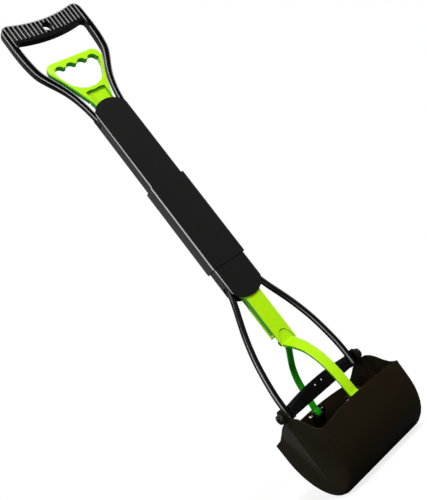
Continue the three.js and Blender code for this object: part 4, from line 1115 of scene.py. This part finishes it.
@dataclass
class PullRing:
    """The lime ring that the fingers pull, with the tongue and the blade that go down into the bar."""

    foot: float = 552.0
    top: float = 632.0
    half_width: float = 40.8
    front: float = 5.6
    back: float = 2.8
    top_bar: float = 8.0
    side: float = 6.2
    hole_height: float = 43.7
    corner: float = 11.0
    edge: float = 2.2
    scallop: float = 7.4
    scallop_depth: float = 4.2
    scallop_pitch: float = 16.8
    scallops: int = 4
    scallop_sides: int = 40
    worn_edge: float = 0.35
    corner_steps: int = 12
    pocket_steps: int = 10
    tongue_half: float = 12.5
    tongue_foot: float = 547.0
    pocket_depth: float = 4.2
    pocket_half: float = 14.6
    pocket_foot_half: float = 13.4
    pocket_rise: float = 23.6
    pocket_hump: float = 1.0
    blade_half: float = 7.5
    blade_half_depth: float = 2.0
    blade_foot: float = 523.0
    slot_depth: float = 1.6
    slot_height: float = 3.0
    slot_rise: float = 8.6
    outer: Sequence[Point] = ((1, 0.813), (0.82, 0.631), (0.612, 0.388), (0.385, 0.0875), (0.358, 0))
    inner: Sequence[Point] = ((0.986, 0.846), (0.914, 0.604), (0.714, 0.275), (0.457, 0.1), (0.17, 0.01))

    def outline(self) -> list[Point]:
        """The ring's outer edge.

        Returns:
            Its points in order.
        """
        half, top, height = self.half_width, self.top, self.top - self.foot
        right = scaled(self.outer, half, self.foot, height)
        shoulder = right[0][1]
        return [
            *curve((half - self.corner, top), (half, top), (half, shoulder), self.corner_steps),
            *right,
            *other_side(right),
            *curve((-half, shoulder), (-half, top), (-half + self.corner, top), self.corner_steps)[1:],
            (-half + self.corner, top),
        ]

    def hole(self) -> list[Point]:
        """The finger hole without its scallops.

        Returns:
            Its points in order.
        """
        top = self.top - self.top_bar
        half = self.half_width - self.side
        right = scaled(self.inner, half, top - self.hole_height, self.hole_height)
        half_right = [(half - self.side, top - self.scallop_depth), *right]
        return [*half_right, *other_side(half_right)]

    def pocket(self) -> list[Point]:
        """The pocket in the ring's foot, with two low humps on top.

        Returns:
            Its points in order.
        """
        low, high = self.foot - self.edge, self.foot + self.pocket_rise
        half, hump = self.pocket_half, high + 2 * self.pocket_hump
        return [
            (-self.pocket_foot_half, low),
            (self.pocket_foot_half, low),
            *curve((half, high), (half / 2, hump), (0, high), self.pocket_steps),
            *curve((0, high), (-half / 2, hump), (-half, high), self.pocket_steps),
            (-half, high),
        ]

    def body(self) -> Piece:
        """The ring with rim, hole, scallops, pocket, tongue and blade.

        Returns:
            The piece.
        """
        bm = prism(self.outline(), Axis.Y, -self.front, self.back)
        soften(bm, at_depth(-self.front, self.back), self.edge)
        piece = solid_object("pull_ring", bm)
        past = 2 * self.front
        combine(piece, prism(self.hole(), Axis.Y, -past, past), Combine.CUT)
        level = self.top - self.top_bar - self.scallop
        middle = (self.scallops - 1) / 2
        scallops = [
            disc((x * self.scallop_pitch, level), self.scallop, Axis.Y, -past, past, self.scallop_sides)
            for x in (i - middle for i in range(self.scallops))
        ]
        combine(piece, merged(scallops), Combine.CUT)
        floor = -self.front + self.pocket_depth
        combine(piece, prism(self.pocket(), Axis.Y, -past, floor), Combine.CUT)
        edge = self.half_width * self.outer[-2][0]
        slot = self.foot + self.slot_rise
        across, over = (edge - self.slot_depth, edge + 2 * self.edge), (slot, slot + self.slot_height)
        notch = block(across, over, Axis.Y, floor, past)
        combine(piece, merged([mirrored(notch), notch]), Combine.CUT)
        half, deep = self.blade_half, self.blade_half_depth
        blade = block((-half, half), (self.blade_foot, self.foot - self.edge), Axis.Y, -deep, deep)
        combine(piece, blade, Combine.JOIN)
        half, high = self.tongue_half, self.foot + self.slot_height
        tongue = block((-half, half), (self.tongue_foot, high), Axis.Y, floor, self.back - self.edge)
        combine(piece, tongue, Combine.JOIN)
        smooth(piece)
        break_edges(piece, self.worn_edge)
        return piece

    def build(self, bench: Bench) -> None:
        """Builds and dresses the ring."""
        bench.fit(self.body(), "trigger", bench.finishes.lime, "trigger_ring")


@dataclass(frozen=True)
class ScrewPattern:
    """The sizes of one kind of pan-head screw with a cross recess, its axis along Y."""

    back: float
    front: float
    head_radius: float
    head_thick: float
    shank_radius: float = 1.5
    recess_half: float = 0.4
    recess_reach: float = 1.5
    recess_depth: float = 1.1
    recess_past: float = 1.0
    sides: int = 24
    dome: Sequence[Point] = ((1, 0.45), (0.86, 0.12), (0.6, 0))

    def piece(self, name: str, x: float, z: float) -> Piece:
        """One screw.

        Args:
            name: Name of the piece.
            x: Place across.
            z: Height.

        Returns:
            The piece.
        """
        shank, radius, thick = self.shank_radius, self.head_radius, self.head_thick
        neck = self.back - thick
        profile = [
            (0, self.front), (shank / 2, self.front), (shank, self.front + shank), (shank, neck),
            (radius, neck), *scaled(self.dome, radius, self.back, -thick), (0, self.back),
        ]
        piece = solid_object(name, turned(profile, Vector((x, 0, z)), Axis.Y, self.sides))
        half, reach = self.recess_half, self.recess_reach
        low, high = self.back - self.recess_depth, self.back + self.recess_past
        for a, b in ((reach, half), (half, reach)):
            combine(piece, block((x - a, x + a), (z - b, z + b), Axis.Y, low, high), Combine.CUT)
        smooth(piece)
        return piece


@dataclass
class Shaft:
    """The covers, the sleeve and their screws and pins."""

    screw_rows: Sequence[tuple[str, float, str]] = (
        ("top", 494.0, "upper_frame"), ("middle", 345.0, "upper_frame"), ("lower", 290.0, "lower_frame"),
    )
    ring_screw_z: float = 532.0
    cover_pattern: ScrewPattern = ScrewPattern(back=8.0, front=-7.1, head_radius=2.7, head_thick=1.8)
    ring_pattern: ScrewPattern = ScrewPattern(back=6.0, front=-6.0, head_radius=2.6, head_thick=1.3)
    wall_start: float = 21.0
    wall_inside: float = 24.0
    wall_outside: float = 24.9
    wall_bevel: float = 24.75
    wall_turn: float = 6.2
    wall_depth: float = 7.0
    wall_split: float = 0.15
    upper_wall: Point = (514.0, 526.0)
    lower_wall: Point = (268.5, 286.0)
    rail_slot: Triple = (3.7, 514.0, 535.6)
    rod_slot: Triple = (4.4, 263.2, 286.0)

    def cover(self, bench: Bench, node: str) -> Piece:
        """A cover whose side walls are whole as far as the arms or the rods leave room for them.

        Args:
            bench: Where the CAD nodes are.
            node: Name of the cover.

        Returns:
            The piece.
        """
        piece = refined(bench.nodes[node], node + "_look")
        side = -1 if "front" in node else 1
        upper = "upper" in node
        whole = (self.wall_inside, self.wall_split, *(self.upper_wall if upper else self.lower_wall))
        beside = (self.wall_start, *(self.rail_slot if upper else self.rod_slot))
        edge = [(self.wall_outside, self.wall_turn), (self.wall_bevel, self.wall_depth)]
        for way in (-1, 1):
            for inside, split, low, high in (beside, whole):
                outline = [(inside, split), (self.wall_outside, split), *edge, (inside, self.wall_depth)]
                wall = prism([(way * x, side * y) for x, y in outline], Axis.Z, low, high)
                combine(piece, wall, Combine.JOIN)
        smooth(piece)
        return piece

    def build(self, bench: Bench) -> None:
        """Builds and dresses the shaft."""
        looks = bench.finishes
        for half in ("upper", "lower"):
            for side in ("front", "rear"):
                node = f"{half}_{side}_cover"
                bench.fit(self.cover(bench, node), half + "_frame", looks.shaft, node)
        bench.refit("sleeve", looks.shaft, "locking_sleeve")
        screws = [
            (self.cover_pattern, f"{row}_{side}_screw", x, z, body)
            for row, z, body in self.screw_rows for side, x in (("left", -RAIL_X), ("right", RAIL_X))
        ]
        screws.append((self.ring_pattern, "trigger_screw", 0.0, self.ring_screw_z, "trigger"))
        for pattern, name, x, z, body in screws:
            bench.fit(pattern.piece(name + "_look", x, z), body, looks.dark_steel, name)
        bench.refit("upper_frame", looks.bright_steel, "left_fold_pin", "right_fold_pin")
        bench.refit("trigger", looks.bright_steel, "pull_bar_hinge_pin")


@dataclass
class PullBars:
    """The two lengths of the bar that the ring pulls, the lower one with its sides filled nearly flush."""

    side: float = 10.9
    depth: float = 5.0
    filled: Point = (188.0, 262.0)

    def build(self, bench: Bench) -> None:
        """Builds and dresses the bars."""
        looks = bench.finishes
        bench.refit("trigger", looks.lime, "upper_pull_bar")
        bench.refit("lower_bar", looks.lime, "lower_pull_bar")
        core = block((-self.side, self.side), (-self.depth, self.depth), Axis.Z, *self.filled)
        bench.fit(solid_object("lower_pull_bar_core", core), "lower_bar", looks.lime)
        bench.refit("lower_bar", looks.bright_steel, "link_pivot_pin")


@dataclass
class Links:
    """The two links from the lower pull bar to the jaws, with their foot pins."""

    half_thick: float = 2.6
    eye: float = 3.5
    cheek_start: float = 7.8
    cheek_end: float = 9.6
    leg_foot: float = 172.0
    window_rise: float = 17.1
    tongue_front: float = 5.0
    tongue_thick: float = 1.3
    shoulder: float = 7.0
    shoulder_z: float = 150.0
    front_foot: float = 6.4
    rear_half: float = 4.4
    foot_above: float = 4.5
    foot_below: float = 3.6
    foot_out: float = 3.4
    front_foot_in: float = 3.2
    rear_foot_in: float = 5.4
    pin_radius: float = 1.6
    pin_head: float = 2.9
    pin_head_thick: float = 1.5
    pin_head_start: float = 11.1
    pin_dome: Sequence[Point] = ((1, 0.3), (0.85, 0.75), (0.5, 1), (0, 1))
    foot_round: float = 1.0
    cheek_power: float = 1.4
    ridge_half: float = 0.35
    ridge_rise: float = 0.2
    corner_degrees: float = 40.0
    pin_degrees: float = 50.0
    run_steps: int = 5
    strip_sides: int = 20
    tongue_steps: int = 24
    pin_sides: int = 28
    front_run: Sequence[Share] = (
        (0.092, -0.02, 0.24), (0.098, 0.026, 0.34), (0.155, 0.063, 0.7), (0.27, 0.103, 0.92),
        (0.43, 0.165, 0.95), (0.6, 0.25, 0.85), (0.785, 0.396, 0.75), (0.9, 0.56, 0.7), (0.965, 0.729, 0.65),
        (0.985, 0.85, 0.65), (0.995, 0.945, 0.65), (1, 1, 0.65),
    )
    rear_run: Sequence[Share] = (
        (0.02, 0.02, 0.9), (0.113, 0.104, 0.85), (0.34, 0.219, 0.85), (0.604, 0.365, 0.85),
        (0.769, 0.521, 0.85), (0.83, 0.635, 0.8), (0.88, 0.76, 0.8), (0.915, 0.854, 0.8), (0.955, 0.94, 0.8),
        (0.99, 1, 0.8),
    )

    def strip(
        self, run: Sequence[Share], width: Callable[[float], float], side: int, section: Section
    ) -> Solid:
        """The curved strip of a link.

        Args:
            run: Shares of the run out, of the drop and of the thickness.
            width: Half width at a height.
            side: Which way the link goes, -1 to the front and 1 to the back.
            section: Section of the strip.

        Returns:
            The closed solid.
        """
        drop = LINK_TOP_Z - LINK_FOOT_Z
        spots = [(0, side * LINK_OUT * out, LINK_TOP_Z - drop * down) for out, down, _ in run]
        stations = []
        for place, heading, span in smooth_route(spots, self.run_steps):
            over = Vector((0, -heading.z, heading.y))
            thick = self.half_thick * along([row[2] for row in run], span)
            stations.append(Station(place, Vector((1, 0, 0)), over, width(place.z), thick))
        return sweep(stations, self.strip_sides, section)

    def front_width(self, z: float) -> float:
        """Half width of the front link at a height."""
        if z > self.leg_foot:
            return self.cheek_end
        if z > self.shoulder_z:
            share = (z - self.shoulder_z) / (self.leg_foot - self.shoulder_z)
            return mix(self.shoulder, self.cheek_end, share ** self.cheek_power)
        return mix(self.front_foot, self.shoulder, (z - LINK_FOOT_Z) / (self.shoulder_z - LINK_FOOT_Z))

    def foot(self, inward: float, half: float, side: int) -> Solid:
        """The squared foot of a link.

        Args:
            inward: Its reach towards the middle.
            half: Its half width.
            side: Which way the link goes.

        Returns:
            The closed solid.
        """
        over = (LINK_FOOT_Z - self.foot_below, LINK_FOOT_Z + self.foot_above)
        bm = block((side * (LINK_OUT - inward), side * (LINK_OUT + self.foot_out)), over, Axis.X, -half, half)
        soften(bm, sharp, self.foot_round)
        return bm

    def front_link(self) -> Piece:
        """The wide front link with its tongue and cheeks.

        Returns:
            The piece.
        """
        parts = [self.strip(self.front_run, self.front_width, -1, block_section)]
        turns = [math.pi * i / self.tongue_steps for i in range(self.tongue_steps + 1)]
        arch = [(math.cos(turn), math.sin(turn)) for turn in turns]
        tongue = scaled(arch, self.cheek_end, self.leg_foot, self.window_rise)
        back = self.tongue_front - self.tongue_thick
        parts.append(prism(tongue, Axis.Y, -self.tongue_front, -back))
        reach = self.eye * math.sqrt(0.5)
        side_view = [
            (0, LINK_TOP_Z + self.eye), (reach, LINK_TOP_Z - reach),
            (-LINK_OUT * self.front_run[2][0], self.leg_foot - self.eye), (-self.tongue_front, self.leg_foot),
            (-back, self.leg_foot + self.tongue_thick), (-back, LINK_TOP_Z),
        ]
        cheek = prism(side_view, Axis.X, self.cheek_start, self.cheek_end)
        eye = disc((0, LINK_TOP_Z), self.eye, Axis.X, self.cheek_start, self.cheek_end)
        for part in (cheek, eye):
            parts.extend([mirrored(part), part])
        parts.append(self.foot(self.front_foot_in, self.front_foot, -1))
        piece = solid_object("front_link_look", merged(parts))
        smooth(piece, self.corner_degrees)
        return piece

    def rear_section(self, a: float, b: float) -> Point:
        """Section of the rear link: a rounded block with a rib along its middle."""
        across, over = block_section(a, b)
        ridge = max(0.0, 1 - abs(across) / self.ridge_half)
        return across, over * mix(1 - self.ridge_rise, 1.0, ridge)

    def rear_link(self) -> Piece:
        """The narrow rear link with its eye.

        Returns:
            The piece.
        """
        parts = [
            self.strip(self.rear_run, lambda z: self.rear_half, 1, self.rear_section),
            disc((0, LINK_TOP_Z), self.eye, Axis.X, -self.rear_half, self.rear_half),
            self.foot(self.rear_foot_in, self.rear_half, 1),
        ]
        piece = solid_object("rear_link_look", merged(parts))
        smooth(piece, self.corner_degrees)
        return piece

    def pin(self, name: str, side: int) -> Piece:
        """A foot pin with a domed head at each end.

        Args:
            name: Name of the piece.
            side: Which jaw it is at.

        Returns:
            The piece.
        """
        start = self.pin_head_start
        head = scaled(self.pin_dome, self.pin_head, start, self.pin_head_thick)
        half = [(self.pin_radius, start), (self.pin_head, start), *head]
        profile = [(r, -x) for r, x in reversed(half)] + half
        centre = Vector((0, side * LINK_OUT, LINK_FOOT_Z))
        piece = solid_object(name, turned(profile, centre, Axis.X, self.pin_sides))
        smooth(piece, self.pin_degrees)
        return piece

    def build(self, bench: Bench) -> None:
        """Builds and dresses the links and their pins."""
        looks = bench.finishes
        bench.fit(self.front_link(), "front_link_body", looks.lime, "front_link")
        # The rear link takes the painted-shade copy of the lime
        bench.fit(self.rear_link(), "rear_link_body", looks.shaded_lime, "rear_link")
        for link, side in (("front_link", -1), ("rear_link", 1)):
            pin = self.pin(link + "_pin_look", side)
            bench.fit(pin, link + "_body", looks.bright_steel, link + "_pin")


@dataclass
class Carriage:
    """The two rods, the cross bar, the rivets and the springs."""

    rod_radius: float = 4.1
    rod_top: float = 297.8
    rod_foot: float = 103.0
    foot_spread: float = 57.6
    rivet_radius: float = 2.1
    rivet_inside: float = 52.6
    rivet_head_start: float = 71.4
    rivet_head: float = 6.0
    rivet_head_thick: float = 1.5
    wire: float = 0.6
    coil: float = 5.2
    coil_start: float = 67.4
    coil_pitch: float = 1.75
    curls: float = 1.75
    leg_length: float = 10.0
    leg_angle: float = math.pi / 4
    rivet_dome: Sequence[Point] = ((1, 0.35), (0.88, 0.72), (0.55, 0.95), (0, 1))
    coil_steps: int = 20
    rod_steps: int = 5
    rod_sides: int = 28
    rivet_sides: int = 36
    wire_sides: int = 12
    corner_degrees: float = 50.0
    run: Sequence[Share] = (
        (-0.14, 0), (-0.08, 0.01), (-0.035, 0.025), (0, 0.06), (0.06, 0.138), (0.148, 0.264), (0.235, 0.405),
        (0.348, 0.577), (0.471, 0.731), (0.569, 0.828), (0.672, 0.903), (0.815, 0.979), (0.92, 1),
    )

    def rod(self) -> Solid:
        """The right rod.

        Returns:
            The closed solid.
        """
        drop = LOWER_SHOULDER_Z - PIVOT_Z
        spots = [(RAIL_X, 0, self.rod_top)]
        spots += [
            (mix(RAIL_X, self.foot_spread, out), 0, LOWER_SHOULDER_Z - drop * down) for down, out in self.run
        ]
        spots.append((self.foot_spread, 0, self.rod_foot))
        over, radius = Vector((0, 1, 0)), self.rod_radius
        stations = [
            Station(place, Vector((heading.z, 0, -heading.x)), over, radius, radius)
            for place, heading, _ in smooth_route(spots, self.rod_steps)
        ]
        return sweep(stations, self.rod_sides)

    def rivet(self) -> Solid:
        """The right pivot's rivet with its low domed head.

        Returns:
            The closed solid.
        """
        start = self.rivet_head_start
        head = scaled(self.rivet_dome, self.rivet_head, start, self.rivet_head_thick)
        profile = [
            (0, self.rivet_inside), (self.rivet_radius, self.rivet_inside), (self.rivet_radius, start),
            (self.rivet_head, start), *head,
        ]
        return turned(profile, Vector((0, 0, PIVOT_Z)), Axis.X, self.rivet_sides)

    def spring(self) -> Solid:
        """The right spring: a leg on one jaw, the curls and a leg on the other.

        Returns:
            The closed solid.
        """
        down = 1.5 * math.pi
        first = down + self.leg_angle
        count = int(self.curls * self.coil_steps)
        last = first + 2 * math.pi * count / self.coil_steps
        points = []
        for i in range(count + 1):
            angle = mix(first, last, i / count)
            points.append(Vector((
                self.coil_start + self.coil_pitch * i / self.coil_steps,
                self.coil * math.cos(angle), PIVOT_Z + self.coil * math.sin(angle),
            )))
        for angle, turn, front in ((first, 1, True), (last, -1, False)):
            end = points[0] if front else points[-1]
            leg = [
                end + Vector((0, turn * reach * math.sin(angle), -turn * reach * math.cos(angle)))
                for reach in (self.leg_length / 2, self.leg_length)
            ]
            points = [leg[1], leg[0], *points] if front else [*points, *leg]
        stations = []
        for i, point in enumerate(points):
            heading = (points[min(i + 1, len(points) - 1)] - points[max(i - 1, 0)]).normalized()
            across = Vector((1, 0, 0)).cross(heading).normalized()
            stations.append(Station(point, across, heading.cross(across).normalized(), self.wire, self.wire))
        return sweep(stations, self.wire_sides)

    def build(self, bench: Bench) -> None:
        """Builds and dresses the carriage."""
        looks = bench.finishes
        for name, make, finish in (
            ("rod", self.rod, looks.enamel), ("pivot_pin", self.rivet, looks.enamel),
            ("jaw_spring", self.spring, looks.dark_steel),
        ):
            right = make()
            left = mirrored(right)
            for side, bm in (("right", right), ("left", left)):
                piece = solid_object(f"{side}_{name}_look", bm)
                smooth(piece, self.corner_degrees)
                bench.fit(piece, "lower_frame", finish, f"{side}_{name}")
        bench.refit("lower_frame", looks.nylon, "cross_bar")


@dataclass
class Jaws:
    """The two halves of the bucket."""

    def build(self, bench: Bench) -> None:
        """Builds and dresses the jaws."""
        for node in ("front_jaw", "rear_jaw"):
            bench.refit(node + "_body", bench.finishes.bucket, node)


@dataclass
class Studio:
    """Floor, lamps, world and camera."""

    lens: float = 49.594
    place: Triple = (-0.4252, -0.7292, 0.1930)
    right: Triple = (0.7309, -0.3211, -0.6022)
    up: Triple = (0.4694, -0.404, 0.7851)
    back: Triple = (-0.4954, -0.8565, -0.1446)
    daylight: float = 0.25
    lamps: Sequence[tuple[str, Triple, float, float, float]] = (
        ("key", (0.0, -1.75, 1.9), 43.0, 0.9, 0.9),
        ("strip", (-1.3, -0.6, 0.8), 10.0, 0.06, 1.5),
        ("fill", (1.4, -0.7, 0.9), 4.0, 1.0, 1.0),
    )
    target: Triple = (0.0, 0.0, 0.35)
    sensor: float = 36.0
    clip_start: float = 0.01
    white: str = "#ffffff"
    floor_tone: str = "#9a9a98"
    floor_half: float = 4000.0
    floor_glow: float = 1.15
    floor_share: float = 0.7
    floor_fade: Point = (0.3, 0.9)

    def camera(self) -> None:
        """Puts the camera where the photograph was taken."""
        data = bpy.data.cameras.new("camera")
        data.lens = self.lens
        data.sensor_width = self.sensor
        data.sensor_fit = "AUTO"
        data.clip_start = self.clip_start
        camera = shown("camera", data)
        turn = Matrix((self.right, self.up, self.back)).transposed().to_4x4()
        camera.matrix_world = Matrix.Translation(self.place) @ turn
        bpy.context.scene.camera = camera

    def light(self) -> None:
        """Adds the soft lamps, each aimed at the part's middle."""
        for name, place, power, width, height in self.lamps:
            data = bpy.data.lights.new(name, "AREA")
            data.energy = power
            data.shape = "RECTANGLE"
            data.size = width
            data.size_y = height
            lamp = shown(name, data)
            lamp.location = place
            lamp.rotation_euler = (Vector(self.target) - Vector(place)).to_track_quat("-Z", "Y").to_euler()

    def world(self) -> None:
        """Makes the surroundings: soft daylight, and plain white to the camera and in reflections."""
        world = bpy.data.worlds.new("studio")
        bpy.context.scene.world = world
        world.use_nodes = True
        tree = world.node_tree
        tree.nodes.clear()
        path = add_node(tree, "LightPath").outputs
        seen = path["Is Camera Ray"]
        for ray in ("Is Glossy Ray", "Is Transmission Ray"):
            seen = add_node(tree, "Math", {"0": seen, "1": path[ray]}, operation="MAXIMUM").outputs[0]
        strength = add_node(tree, "MapRange", {"Value": seen}, To_Min=self.daylight, To_Max=1.0)
        sky = add_node(tree, "Background", {"Strength": strength.outputs["Result"], "Color": self.white})
        add_node(tree, "OutputWorld", {"Surface": sky.outputs["Background"]})

    def floor(self) -> None:
        """Lays a plain pale floor that keeps the object's shadow."""
        bm = bmesh.new()
        bmesh.ops.create_grid(bm, x_segments=1, y_segments=1, size=self.floor_half)
        piece = solid_object("floor", bm)
        material, tree = new_tree("paper_pale_matt")
        camera = add_node(tree, "LightPath").outputs["Is Camera Ray"]
        # Pale to the camera, and a middle grey for the light that it throws back up
        tone = add_node(tree, "Mix", {"0": camera, "6": self.floor_tone, "7": self.white}, data_type="RGBA")
        matt = add_node(tree, "BsdfDiffuse", {"Color": tone.outputs[2]})
        # It turns to plain white paper away from the object
        place = add_node(tree, "TexCoord").outputs["Object"]
        away = add_node(tree, "VectorMath", {"0": place}, operation="LENGTH").outputs["Value"]
        glow, paper = (
            add_node(tree, "MapRange", {"Value": away}, **range_of(*self.floor_fade, start)).outputs["Result"]
            for start in (self.floor_glow, self.floor_share)
        )
        white = add_node(tree, "Emission", {"Strength": glow, "Color": self.white})
        share = add_node(tree, "Math", {"0": camera, "1": paper}, operation="MULTIPLY").outputs[0]
        seen = add_node(tree, "MixShader", {"0": share, "1": matt.outputs[0], "2": white.outputs[0]})
        add_node(tree, "OutputMaterial", {"Surface": seen.outputs[0]})
        piece.data.materials.append(material)

    def build(self) -> None:
        """Sets up everything that isn't the object."""
        self.camera()
        self.light()
        self.world()
        self.floor()
        bpy.context.scene.view_settings.view_transform = "Standard"


def main() -> None:
    """Builds the scooper's looks in order."""
    logging.basicConfig(level=logging.INFO, format="%(message)s")
    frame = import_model()
    Studio().build()
    bench = Bench(frame["nodes"])
    for assembly in (GripFrame(), PullRing(), Shaft(), PullBars(), Links(), Carriage(), Jaws()):
        LOG.info("%s", type(assembly).__name__)
        assembly.build(bench)


if __name__ == "__main__":
    main()
